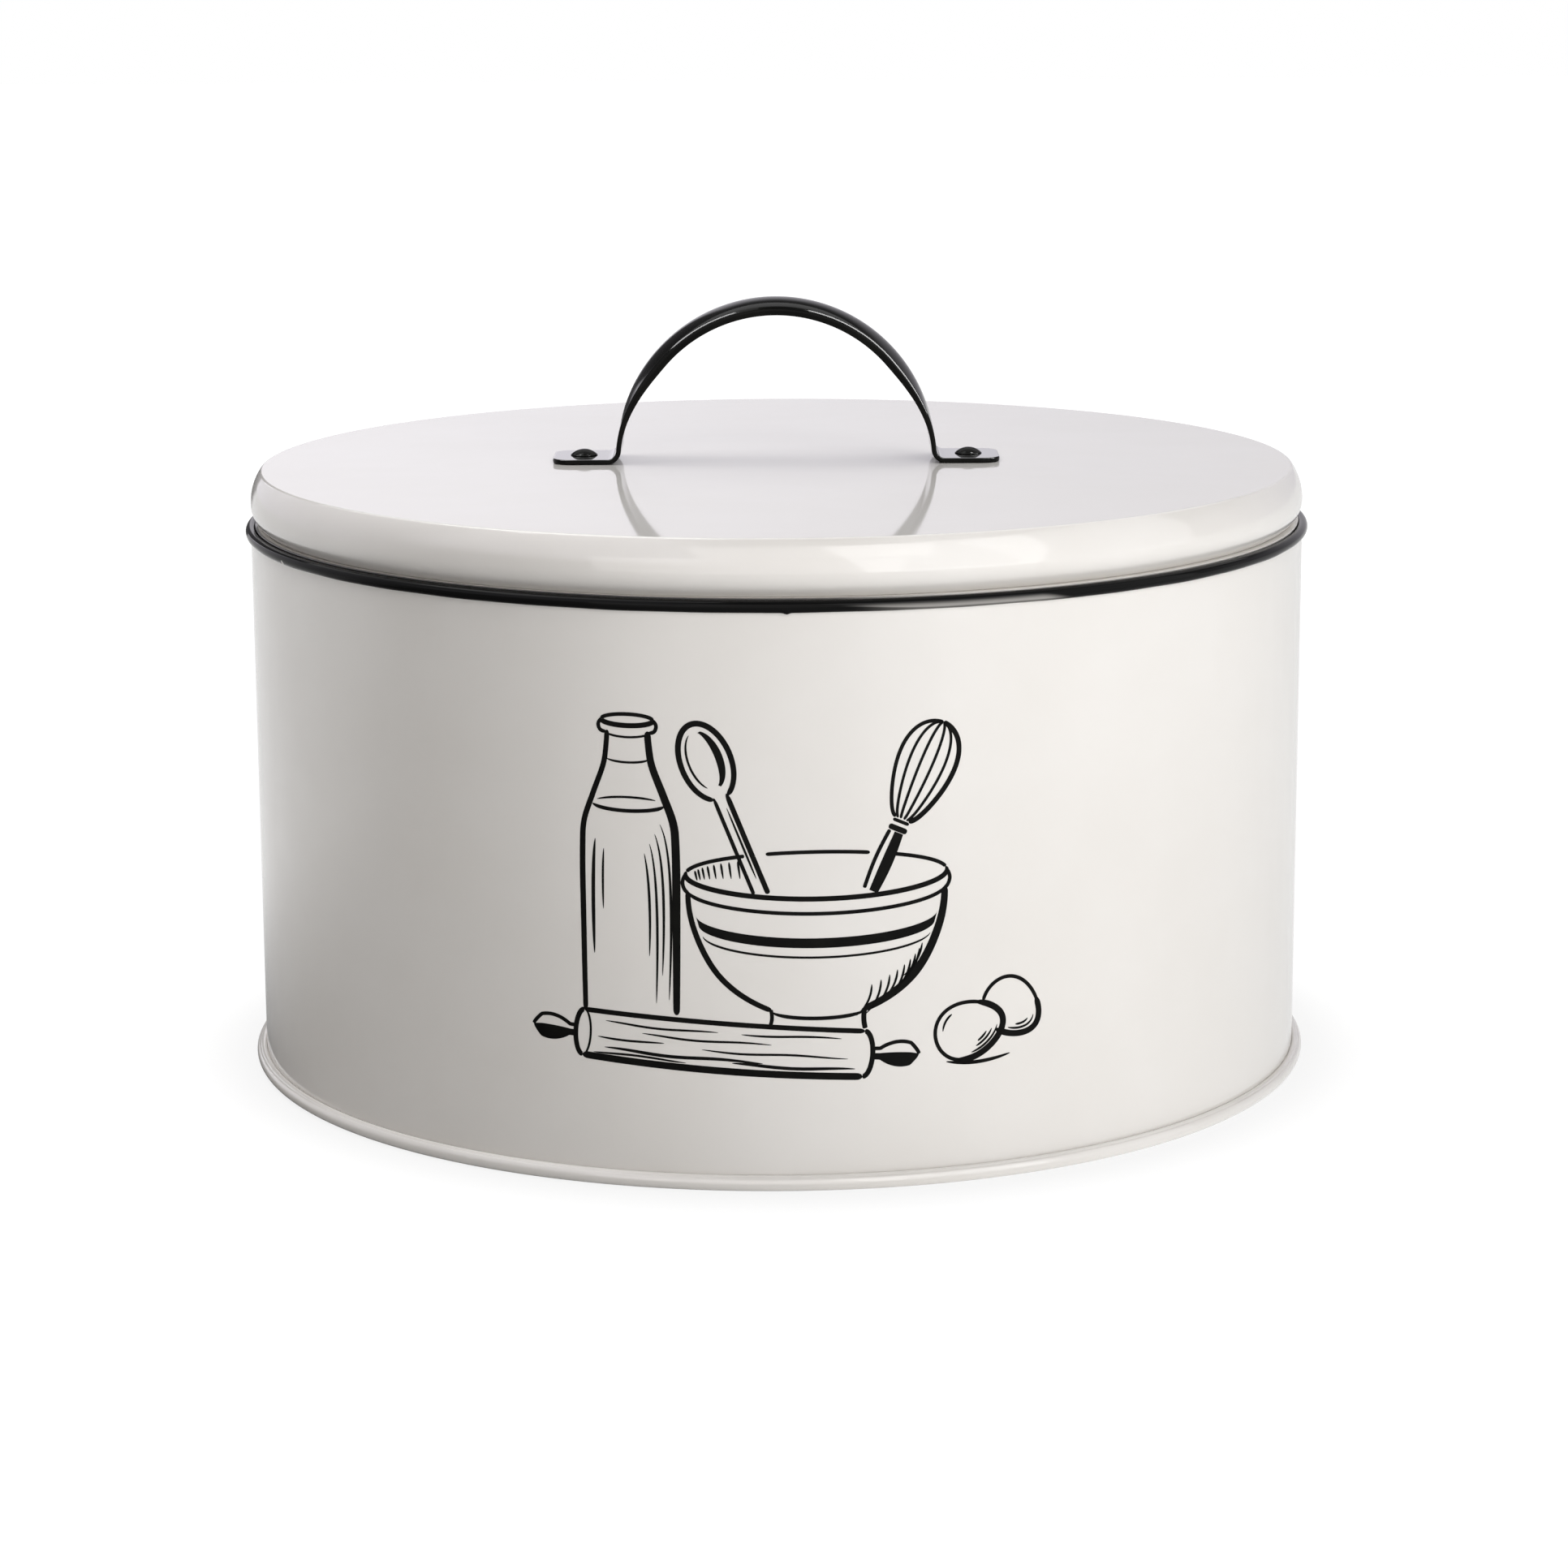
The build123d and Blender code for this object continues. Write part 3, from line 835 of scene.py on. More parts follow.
def washer(name, side, material):
    """Flat ring with rounded edges under the lid, turned about the rivet's axis."""
    hole = SHANK_RADIUS + SHANK_CLEARANCE
    corners = [
        (hole, washer_low.z),
        (WASHER_RADIUS, washer_low.z),
        (WASHER_RADIUS, washer_high.z),
        (hole, washer_high.z),
    ]
    outline = rounded_outline(corners, EDGE_ROUND, arc_steps=5, run_steps=6)
    turn = full_turn(SMALL_STEPS)
    return turned_piece(name, outline[:, 0], outline[:, 1], turn, material, side * RIVET_PLACE)


# Front print, drawn flat in millimetres: (along the wall from its front line, height)
BOLD_PEN = 1.35
PLAIN_PEN = 1.0
FINE_PEN = 0.6
PEN_POINT = 0.03
PRINT_COLUMNS = 3
PRINT_PROUD = 0.05 * MM
PRINT_SUNK = 0.1 * MM


def pen_line(points, steps=44):
    """Smooth curve through points: cubic pieces, spaced by root chord, with slopes from the neighbours."""
    points = np.asarray(points, float)
    knots = np.append(0.0, np.cumsum(np.sqrt(np.hypot(*np.diff(points, axis=0).T))))
    slopes = np.gradient(points, knots, axis=0, edge_order=min(2, len(points) - 1))
    at = knots[-1] * eased_steps(steps)
    left = np.clip(np.searchsorted(knots, at, side="right") - 1, 0, len(knots) - 2)
    span = (knots[left + 1] - knots[left])[:, None]
    t = (at - knots[left])[:, None] / span
    ends = (2 * t**3 - 3 * t**2 + 1) * points[left] + (3 * t**2 - 2 * t**3) * points[left + 1]
    return ends + span * ((t**3 - 2 * t**2 + t) * slopes[left] + (t**3 - t**2) * slopes[left + 1])


def pen_oval(centre, half_width, half_height, start, end, steps=60):
    """Arc of an ellipse between two angles in degrees."""
    turn = np.radians(start + (end - start) * eased_steps(steps))
    return np.stack([centre[0] + half_width * np.cos(turn), centre[1] + half_height * np.sin(turn)], -1)


def pen_stroke(line, width, start=0.1, end=0.1, swell=0.0):
    """Edges of an inked line: it opens like a circle over a share of each end, and swells in the middle."""
    along = np.append(0.0, np.cumsum(np.hypot(*np.diff(line, axis=0).T)))
    along /= along[-1]
    opening = np.clip(np.minimum(along / start, (1.0 - along) / end), 0.0, 1.0)
    pressure = np.sqrt(1.0 - (1.0 - opening) ** 2) * (1.0 + swell * np.sin(np.pi * along))
    heading = np.gradient(line, along, axis=0)
    heading /= np.linalg.norm(heading, axis=1)[:, None]
    side = np.stack([-heading[:, 1], heading[:, 0]], -1)
    half = width / 2 * (PEN_POINT + (1.0 - PEN_POINT) * pressure)[:, None]
    return line + half * side, line - half * side


def drawn(points, width, start=0.1, end=0.1, swell=0.0):
    """Stroke of the pen through a few points."""
    return pen_stroke(pen_line(points), width, start, end, swell)


def mirrored_line(line, axis):
    """Line turned over about an upright axis."""
    return np.stack([2 * axis - line[:, 0], line[:, 1]], -1)


def leaning(origin, angle):
    """Function that sets (along, across) on the drawing: a turn by the angle, then a move."""
    c, s = np.cos(np.radians(angle)), np.sin(np.radians(angle))

    def place(along, across):
        along, across = np.broadcast_arrays(np.asarray(along, float), np.asarray(across, float))
        return np.stack([origin[0] + c * along - s * across, origin[1] + s * along + c * across], -1)

    return place


def milk_bottle():
    """Outline down to the rolling pin, lip, rings, milk line, and gleams and shading along the sides."""
    axis, lip_height, milk_height = -39.0, 124.0, 102.0
    side = pen_line([
        (-44.4, 121.2), (-44.7, 117.0), (-45.4, 112.5), (-48.4, 104.5),
        (-51.0, 97.0), (-51.5, 90.0), (-51.5, 70.0), (-51.3, 46.6),
    ], 70)
    lip = pen_line([(-45.8, 124.0), (-46.7, 122.7), (-46.2, 121.2), (-44.6, 120.8)])
    ribbons = [
        pen_stroke(side, BOLD_PEN, 0.02, 0.02, 0.15),
        pen_stroke(mirrored_line(side, axis), 1.3 * BOLD_PEN, 0.02, 0.02, 0.25),
        pen_stroke(lip, PLAIN_PEN, 0.05, 0.2),
        pen_stroke(mirrored_line(lip, axis), PLAIN_PEN, 0.05, 0.2),
        pen_stroke(pen_oval((axis, lip_height), 6.9, 1.5, 0, 180), PLAIN_PEN, 0.05, 0.05),
        pen_stroke(pen_oval((axis, lip_height), 6.9, 1.5, 180, 360), BOLD_PEN, 0.05, 0.05),
        pen_stroke(pen_oval((axis, lip_height - 3.0), 6.0, 1.5, 192, 348), FINE_PEN, 0.2, 0.2),
        pen_stroke(pen_oval((axis, lip_height - 9.8), 5.9, 1.3, 197, 343), FINE_PEN, 0.3, 0.2),
        pen_stroke(pen_oval((axis, milk_height), 9.6, 1.8, 186, 352), PLAIN_PEN, 0.15, 0.1),
        pen_stroke(pen_oval((axis, milk_height), 9.6, 1.8, 150, 40), FINE_PEN, 0.3, 0.3),
        drawn([(-48.0, 92.5), (-48.6, 84.0), (-48.6, 62.0)], PLAIN_PEN, 0.4, 0.5),
        drawn([(-45.7, 90.0), (-46.0, 84.0), (-46.0, 74.0)], FINE_PEN, 0.4, 0.5),
    ]
    for number, low in enumerate((50.5, 57.0, 49.5, 62.0)):
        x = -28.6 - 1.7 * number
        high = 97.0 - 2.6 * number
        bend = (x, high - 8.0 - 0.4 * number)
        ribbons.append(drawn([(x - 2.0 + 0.3 * number, high), bend, (x, low)], FINE_PEN + 0.1, 0.5, 0.6))
    return ribbons


def mixing_bowl():
    """Rolled rim with gaps behind the spoon and the whisk, bellied sides, a dark band, and shading."""
    middle, rim, half, tip = 10.0, 84.0, 34.0, 6.2
    lip = pen_line([(-24.0, 84.0), (-24.8, 82.0), (-24.2, 80.0), (-23.2, 79.2)])
    side = pen_line([(-23.4, 79.6), (-21.7, 69.0), (-14.8, 56.6), (-2.0, 48.3)], 60)
    ribbons = [
        pen_stroke(pen_oval((middle, rim), half, tip, start, end), PLAIN_PEN, 0.03, 0.03)
        for start, end in ((172, 123.5), (113.0, 66.5), (55.0, 8))
    ]
    ribbons += [
        pen_stroke(pen_oval((middle, rim), half, tip, 172, 368), BOLD_PEN, 0.03, 0.03),
        pen_stroke(pen_oval((middle, rim - 3.9), half - 0.4, tip, 185, 355), PLAIN_PEN, 0.04, 0.04),
        pen_stroke(lip, PLAIN_PEN, 0.05, 0.1),
        pen_stroke(mirrored_line(lip, middle), PLAIN_PEN, 0.05, 0.1),
        pen_stroke(side, BOLD_PEN, 0.03, 0.03, 0.15),
        pen_stroke(mirrored_line(side, middle), 1.3 * BOLD_PEN, 0.03, 0.03, 0.3),
        drawn([(-2.2, 48.5), (-1.9, 46.4), (-2.3, 44.4)], PLAIN_PEN, 0.05, 0.05),
        drawn([(22.2, 48.5), (21.9, 46.0), (22.3, 43.0)], BOLD_PEN, 0.05, 0.05),
        pen_stroke(pen_oval((middle, 48.2), 12.0, 2.1, 186, 354), PLAIN_PEN, 0.2, 0.2),
        (pen_oval((middle, rim - 10.6), half - 2.6, tip - 0.2, 182, 358),
         pen_oval((middle, rim - 13.2), half - 3.3, tip - 0.2, 182, 358)),
        pen_stroke(pen_oval((middle, rim - 15.8), half - 4.3, tip - 0.3, 184, 354), FINE_PEN, 0.1, 0.15),
    ]
    for number in range(9):
        start = pen_oval((middle, 66.3 - 0.8 * number), 28.0, 6.0, 348 - 6.0 * number, 349, 2)[0]
        end = start + (-5.2 + 0.15 * number, -8.6 - 0.5 * np.sin(2.1 * number))
        ribbons.append(drawn([start, (start + end) / 2 + (1.0, -0.4), end], FINE_PEN, 0.25, 0.7))
    for number in range(8):
        start = pen_oval((middle, rim), half - 1.6, tip - 1.2, 167 - 5.4 * number, 168, 2)[0]
        ribbons.append(drawn([start, start + (0.6, -2.6 - 0.3 * number)], FINE_PEN, 0.3, 0.8))
    return ribbons


def wooden_spoon():
    """Handle out of the bowl, an egg-shaped head with its hollow, and a dark crescent in the hollow."""
    place = leaning((-4.6, 79.4), 112.0)
    around = np.radians(163 - 326 * eased_steps(80))
    left = np.radians(150 - 130 * eased_steps(50))
    right = np.radians(-165 + 145 * eased_steps(50))
    hollow = 37.4
    head = place(hollow - 0.4 + 10.4 * np.cos(around), 6.5 * np.sin(around))
    return [
        pen_stroke(place(0.4 + 27.1 * eased_steps(30), 1.75), PLAIN_PEN, 0.02, 0.1),
        pen_stroke(place(-0.8 + 28.3 * eased_steps(30), -1.75), BOLD_PEN, 0.02, 0.1),
        pen_stroke(head, BOLD_PEN, 0.03, 0.03, 0.15),
        pen_stroke(place(hollow + 8.0 * np.cos(left), 4.4 * np.sin(left)), FINE_PEN, 0.3, 0.4),
        (place(hollow + 8.0 * np.cos(right), 4.6 * np.sin(right)),
         place(hollow + 0.2 + 7.6 * np.cos(right), 2.6 * np.sin(right))),
        pen_stroke(place(4.0 + 20.0 * eased_steps(20), -0.4), FINE_PEN, 0.4, 0.6),
    ]


def balloon_whisk():
    """Dark turned handle with a gleam, two rings, and wires that bow out and meet again at the top."""
    place = leaning((23.8, 79.6), 66.0)
    grip = 16.5
    along = grip * eased_steps(30)
    half = 1.9 + 0.5 * np.sin(np.pi * along / grip)
    ribbons = [
        (place(along, -half), place(along, 0.25 * half)),
        pen_stroke(place(along, half), PLAIN_PEN, 0.02, 0.02),
        pen_stroke(place(17.4, -2.6 + 5.2 * eased_steps(10)), 1.5, 0.1, 0.1),
        pen_stroke(place(19.4, -2.3 + 4.6 * eased_steps(10)), 0.9, 0.1, 0.1),
    ]
    turn = 0.06 + (np.pi - 0.06) * eased_steps(60)
    reach = 20.2 + 13.5 * (1.0 - np.cos(turn))
    bulge = 1.6 * np.cos(turn / 2) ** 2 + 9.4 * np.sin(turn) * (0.72 - 0.28 * np.cos(turn))
    wires = ((-1.0, BOLD_PEN), (-0.62, 0.75), (-0.22, 0.75), (0.2, 0.75), (0.6, 0.75), (1.0, PLAIN_PEN))
    for share, width in wires:
        ribbons.append(pen_stroke(place(reach, share * bulge), width, 0.02, 0.02))
    return ribbons


def rolling_pin():
    """Bowed roller with its end grain, a dark handle at each end, and long wavering grain lines."""
    place = leaning((-66.0, 41.4), -3.4)
    start, end, girth = 14.0, 88.0, 6.1
    run = start + (end - start) * eased_steps(40)
    bow = girth + 0.25 * np.sin(np.pi * (run - start) / (end - start))
    turn = np.radians(90 + 180 * eased_steps(30))
    ribbons = [
        pen_stroke(place(run, bow), BOLD_PEN, 0.02, 0.02),
        pen_stroke(place(run, -bow), 1.4 * BOLD_PEN, 0.02, 0.02),
        pen_stroke(place(start + 2.2 * np.cos(turn), girth * np.sin(turn)), BOLD_PEN, 0.03, 0.03),
        pen_stroke(place(start - 2.0 * np.cos(turn), girth * np.sin(turn)), FINE_PEN, 0.2, 0.2),
        pen_stroke(place(end - 2.4 * np.cos(turn), girth * np.sin(turn)), BOLD_PEN, 0.03, 0.03),
    ]
    grip = 12.5
    along = grip * eased_steps(40)
    belly = np.sin(np.pi * np.clip((along - 2.2) / 11.0, 0.0, 1.0)) ** 0.8
    half = (1.5 + 1.9 * belly) * np.sqrt(np.clip((grip - along) / 2.2, 0.0, 1.0))
    for base, way in ((start - 1.8, -1), (end + 2.2, 1)):
        ribbons.append((place(base + way * along, -half), place(base + way * along, 0.15 * half)))
        ribbons.append(pen_stroke(place(base + way * along, half), PLAIN_PEN, 0.02, 0.02))
    grain = (
        (20, 50, 3.6, 0.6), (56, 82, 3.9, 0.6), (30, 64, 1.4, 0.6), (18, 36, -0.6, 0.6),
        (46, 84, -1.2, 0.6), (20, 62, -3.5, 0.9), (54, 86, -4.3, 0.9), (17, 42, -4.8, 0.6),
    )
    for first, last, across, width in grain:
        run = first + (last - first) * eased_steps(30)
        waver = 0.25 * np.sin(0.22 * run + across)
        ribbons.append(pen_stroke(place(run, across + waver), width, 0.35, 0.45))
    return ribbons


def egg_line(egg, start, end, size=1.0):
    """Egg outline between two angles: an ellipse whose girth is less towards its point."""
    centre, length, girth, tilt = egg
    turn = np.radians(start + (end - start) * eased_steps(60))
    narrowing = 1.0 - 0.17 * np.cos(turn)
    return leaning(centre, tilt)(size * length * np.cos(turn), size * girth * np.sin(turn) * narrowing)


def two_eggs():
    """Near egg, the part of the far egg that shows, curved shading on both, and a stroke of shadow."""
    near = ((50.5, 40.8), 9.6, 7.5, 14.0)
    far = ((62.6, 45.6), 8.8, 7.2, -38.0)
    ribbons = [
        pen_stroke(egg_line(near, 60, 245), PLAIN_PEN, 0.05, 0.05),
        pen_stroke(egg_line(near, 235, 430), 1.3 * BOLD_PEN, 0.15, 0.15),
        pen_stroke(egg_line(far, -92, 60), 1.25 * BOLD_PEN, 0.1, 0.1),
        pen_stroke(egg_line(far, 55, 203), PLAIN_PEN, 0.05, 0.05),
        drawn([(44.0, 32.6), (52.5, 31.8), (62.0, 33.2)], PLAIN_PEN, 0.4, 0.5),
    ]
    shading = (
        (near, 262, 345, 0.82), (near, 275, 335, 0.68), (near, 285, 325, 0.55), (near, 120, 165, 0.78),
        (far, -70, 20, 0.8), (far, -50, 0, 0.66),
    )
    for egg, start, end, size in shading:
        ribbons.append(pen_stroke(egg_line(egg, start, end, size), FINE_PEN, 0.3, 0.5))
    return ribbons


def ribbon_shell(first, second):
    """Closed strip between two edges, bent round the wall: ink outside, back sunk in the sheet, ends shut.

    A point s along the wall is at the angle s / wall radius from the front.
    """
    ring = np.concatenate([first, second[::-1]])
    x, z = ring.T
    if np.sum(x * np.roll(z, -1) - np.roll(x, -1) * z) < 0:
        first, second = second, first
    share = np.linspace(0.0, 1.0, PRINT_COLUMNS)[:, None]
    face = (1 - share) * first[:, None] + share * second[:, None]
    flat = MM * np.concatenate([face, face[:, ::-1]], axis=1)
    radius = WALL_RADIUS + np.repeat([PRINT_PROUD, -PRINT_SUNK], PRINT_COLUMNS)
    angle = flat[..., 0] / WALL_RADIUS
    points = np.stack([radius * np.sin(angle), -radius * np.cos(angle), flat[..., 1]], -1)
    rows, columns = points.shape[:2]
    step = np.arange(PRINT_COLUMNS - 1)
    start = np.stack([step, step + 1, columns - 2 - step, columns - 1 - step], -1)
    end = start[:, ::-1] + (rows - 1) * columns
    return points.reshape(-1, 3), np.concatenate([grid_faces(rows, columns, False, True), start, end])


def front_print(material):
    """All ribbons of the drawing as one piece of thin ink shells."""
    ribbons = milk_bottle() + mixing_bowl() + wooden_spoon() + balloon_whisk() + rolling_pin() + two_eggs()
    shells = [ribbon_shell(first, second) for first, second in ribbons]
    starts = np.cumsum([0] + [len(points) for points, faces in shells[:-1]])
    points = np.concatenate([points for points, faces in shells])
    faces = np.concatenate([faces + start for (points, faces), start in zip(shells, starts)])
    return add_piece("front_ink", points, faces, material, crisp=True)


# Studio floor: edges and the fade are bearings in radians, reaches are from the axis or the shade's centre
FLOOR_HALF = 6.0
FLOOR_GREY = 0.8
CAMERA_SHARE = 0.85
MIRROR_SHARE = 0.93
NEAR_REACH = (0.15, 0.178)
NEAR_LEVELS = (0.98, 1.1)
OPEN_REACH = (0.25, 1.2)
OPEN_RISE = 0.2
SHADE_CENTRE = (-0.2, -0.14, 0.0)
SHADE_REACH = (0.1, 0.38)
SHADE_LEVEL = 0.2
FAR_EDGE = (-2.76, -2.7)
FAR_REACH = (1.0, 1.6)
FAR_LEVEL = 0.1
SHADE_EDGE = (-1.72, -1.3)
SIDE_LEVELS = (0.89, 0.22)
LIT_EDGE = (-0.8, -0.3)
DIM_EDGE = (1.6, 2.5)
LIT_LEVELS = (0.85, 0.9)
GLOW_EDGE = (0.5, 0.58)
GLOW_REACH = (0.2, 0.9)
GLOW_LEVEL = 0.45
BOUNCE_EDGE = (-0.4, 0.2)
BOUNCE_LEVEL = 0.6
BOUNCE_FADE = (0.5, 1.5)
BOUNCE_REST = 0.6

# Studio world: ranges of a direction's X, Y or Z, and bearings in radians for the card at the left
ROOM_LEVEL = 0.13
BACKDROP_COLOUR = (0.98, 0.955, 1.02)
BACKDROP_TOP = (0.3, 0.5)
BACKDROP_FRONT = (-0.1, 0.6)
BACKDROP_END = (-0.23, -0.16)
BACKDROP_RUN = (-0.25, 0.25)
BACKDROP_LEVELS = (1.02, 0.68)
FRONT_CARD_FOOT = (0.1, 0.35)
FRONT_CARD_BACK = (-0.25, 0.1)
FRONT_CARD_END = (-0.4, -0.05)
FRONT_CARD_LEVEL = 1.3
CARD_START = (-2.8, -2.76)
CARD_END = (-1.9, -1.2)
CARD_SLOPE = 0.92
CARD_TOP = 0.07
CARD_FADE = (CARD_TOP - 0.015, CARD_TOP + 0.015)
CARD_LEVEL = 0.8
GLEAM_START = (-2.72, -2.66)
GLEAM_END = (-2.45, -2.35)
GLEAM_FOOT = (CARD_TOP - 0.04, CARD_TOP - 0.025)
GLEAM_TOP = (CARD_TOP - 0.01, CARD_TOP + 0.005)
GLEAM_LEVEL = 2.0

# Lamps and camera: the camera's turn is pitch, pan and roll in degrees, its lens is in millimetres
WHITE_LIGHT = (1.0, 1.0, 1.0)
WARM_LIGHT = (1.0, 0.965, 0.945)
TIN_MIDDLE = (0.0, 0.0, 0.1)
LID_MIDDLE = (0.0, 0.0, 0.17)
LID_LEFT = (-0.06, 0.0, 0.17)
GLINT_DISTANCE = 1.3
CAMERA_TURN = (12.097, 0.082, -0.299)
CAMERA_PLACE = (0.0, -1.204, 0.334)
CAMERA_LENS = 97.04
CAMERA_SENSOR = 36.0
CAMERA_NEAR = 0.01


def mirror_ray(tree, path):
    """1 for what is seen in a reflection or through glass, and 0 otherwise."""
    return math_node(tree, "MAXIMUM", path["Is Glossy Ray"], path["Is Transmission Ray"])


def floor_mirrored(tree, bearing, away, shade):
    """Floor in reflections: pale behind on the left, dark on the shaded side, bright on the lit side."""
    far_end = product(
        tree, eased(tree, bearing, *FAR_EDGE, 1.0, 0.0), eased(tree, away, *FAR_REACH, 0.0, 1.0),
    )
    dark_side = chosen(tree, far_end, eased(tree, bearing, *SHADE_EDGE, *SIDE_LEVELS), FAR_LEVEL)
    lit_side = eased(tree, bearing, *DIM_EDGE, *LIT_LEVELS)
    across = chosen(tree, eased(tree, bearing, *LIT_EDGE, 0.0, 1.0), dark_side, lit_side)
    glow = product(
        tree,
        eased(tree, bearing, *GLOW_EDGE, 0.0, 1.0),
        eased(tree, away, *GLOW_REACH, 0.0, GLOW_LEVEL),
        eased(tree, bearing, *DIM_EDGE, 1.0, 0.0),
    )
    return math_node(tree, "ADD", product(tree, across, shade), glow)


def floor_seen(tree, away):
    """Floor to the camera: white, and a little darker close to the tin."""
    near = eased(tree, away, *NEAR_REACH, *NEAR_LEVELS)
    return math_node(tree, "ADD", near, eased(tree, away, *OPEN_REACH, 0.0, OPEN_RISE))


def floor_bounce(tree, bearing, shade, path):
    """Plain light that the floor sends up on the lit side, and less of it far round to the right."""
    return product(
        tree,
        eased(tree, bearing, *BOUNCE_EDGE, 0.0, BOUNCE_LEVEL),
        shade,
        eased(tree, bearing, *BOUNCE_FADE, 1.0, BOUNCE_REST),
        path["Is Diffuse Ray"],
    )


def glowing(tree, strength):
    """White emission of a linked strength."""
    made = node(tree, "ShaderNodeEmission", Color=(1, 1, 1, 1))
    tree.links.new(strength, made.inputs["Strength"])
    return made.outputs["Emission"]


def floor_finish():
    """White to the camera, its own tones in reflections, and plain grey that also sends up some light."""
    material = bpy.data.materials.new("pale_floor")
    material.use_nodes = True
    tree = material.node_tree
    tree.nodes.remove(tree.nodes["Principled BSDF"])
    place = tree.nodes.new("ShaderNodeTexCoord").outputs["Object"]
    path = tree.nodes.new("ShaderNodeLightPath").outputs
    bearing = bearing_node(tree, split(tree, place))
    away = distance_node(tree, place, TIN_FOOT)
    shade = eased(tree, distance_node(tree, place, SHADE_CENTRE), *SHADE_REACH, SHADE_LEVEL, 1.0)
    mirrored = mirror_ray(tree, path)
    plain = node(tree, "ShaderNodeBsdfDiffuse", Color=(FLOOR_GREY, FLOOR_GREY, FLOOR_GREY, 1))
    lit = tree.nodes.new("ShaderNodeAddShader")
    tree.links.new(plain.outputs["BSDF"], lit.inputs[0])
    tree.links.new(glowing(tree, floor_bounce(tree, bearing, shade, path)), lit.inputs[1])
    shown = chosen(tree, mirrored, floor_seen(tree, away), floor_mirrored(tree, bearing, away, shade))
    share = math_node(
        tree,
        "MAXIMUM",
        product(tree, path["Is Camera Ray"], CAMERA_SHARE),
        product(tree, mirrored, MIRROR_SHARE),
    )
    mix = tree.nodes.new("ShaderNodeMixShader")
    tree.links.new(share, mix.inputs["Fac"])
    tree.links.new(lit.outputs["Shader"], mix.inputs[1])
    tree.links.new(glowing(tree, shown), mix.inputs[2])
    tree.links.new(mix.outputs["Shader"], tree.nodes["Material Output"].inputs["Surface"])
    return material


def studio_floor():
    """Wide square that the tin stands on."""
    half = FLOOR_HALF
    corners = [(-half, -half, 0), (half, -half, 0), (half, half, 0), (-half, half, 0)]
    mesh = bpy.data.meshes.new("floor")
    mesh.from_pydata(corners, [], [(0, 1, 2, 3)])
    mesh.materials.append(floor_finish())
    floor = bpy.data.objects.new("floor", mesh)
    bpy.context.scene.collection.objects.link(floor)


def world_backdrop(tree, way):
    """Dim room with a pale backdrop low behind the tin, brighter on the left."""
    panel = product(
        tree,
        eased(tree, way["X"], *BACKDROP_END, 0.0, 1.0),
        eased(tree, way["Z"], *BACKDROP_TOP, 1.0, 0.0),
        eased(tree, way["Y"], *BACKDROP_FRONT, 0.0, 1.0),
    )
    return chosen(tree, panel, ROOM_LEVEL, eased(tree, way["X"], *BACKDROP_RUN, *BACKDROP_LEVELS))


def front_card(tree, way):
    """Pale card raised in front on the left."""
    return product(
        tree,
        eased(tree, way["Z"], *FRONT_CARD_FOOT, 0.0, FRONT_CARD_LEVEL),
        eased(tree, way["Y"], *FRONT_CARD_BACK, 1.0, 0.0),
        eased(tree, way["X"], *FRONT_CARD_END, 1.0, 0.0),
    )


def left_card(tree, way):
    """Card at the left with a slanting top, and a bright edge along that top."""
    bearing = bearing_node(tree, way)
    slant = product(tree, math_node(tree, "SUBTRACT", bearing, CARD_START[1]), CARD_SLOPE)
    over = math_node(tree, "SUBTRACT", way["Z"], slant)
    card = product(
        tree,
        eased(tree, bearing, *CARD_START, 0.0, 1.0),
        eased(tree, bearing, *CARD_END, 1.0, 0.0),
        eased(tree, over, *CARD_FADE, CARD_LEVEL, 0.0),
    )
    gleam = product(
        tree,
        eased(tree, bearing, *GLEAM_START, 0.0, 1.0),
        eased(tree, bearing, *GLEAM_END, GLEAM_LEVEL, 0.0),
        eased(tree, over, *GLEAM_FOOT, 0.0, 1.0),
        eased(tree, over, *GLEAM_TOP, 1.0, 0.0),
    )
    return math_node(tree, "ADD", card, gleam)


def studio_world():
    """White to the camera, a room with cards in reflections, and dark to plain light: lamps give that."""
    world = bpy.data.worlds.new("studio")
    world.use_nodes = True
    tree = world.node_tree
    background = tree.nodes["Background"]
    way = split(tree, tree.nodes.new("ShaderNodeTexCoord").outputs["Generated"])
    path = tree.nodes.new("ShaderNodeLightPath").outputs
    room = world_backdrop(tree, way)
    for card in (front_card(tree, way), left_card(tree, way)):
        room = math_node(tree, "ADD", room, card)
    unseen = product(tree, mirror_ray(tree, path), room)
    tree.links.new(chosen(tree, path["Is Camera Ray"], unseen, 1.0), background.inputs["Strength"])
    tint = tree.nodes.new("ShaderNodeMix")
    tint.data_type = "RGBA"
    cool, white = [socket for socket in tint.inputs if socket.type == "RGBA"]
    cool.default_value = (*BACKDROP_COLOUR, 1)
    white.default_value = (1, 1, 1, 1)
    tree.links.new(path["Is Camera Ray"], tint.inputs["Factor"])
    tree.links.new(next(s for s in tint.outputs if s.type == "RGBA"), background.inputs["Color"])
    bpy.context.scene.world = world


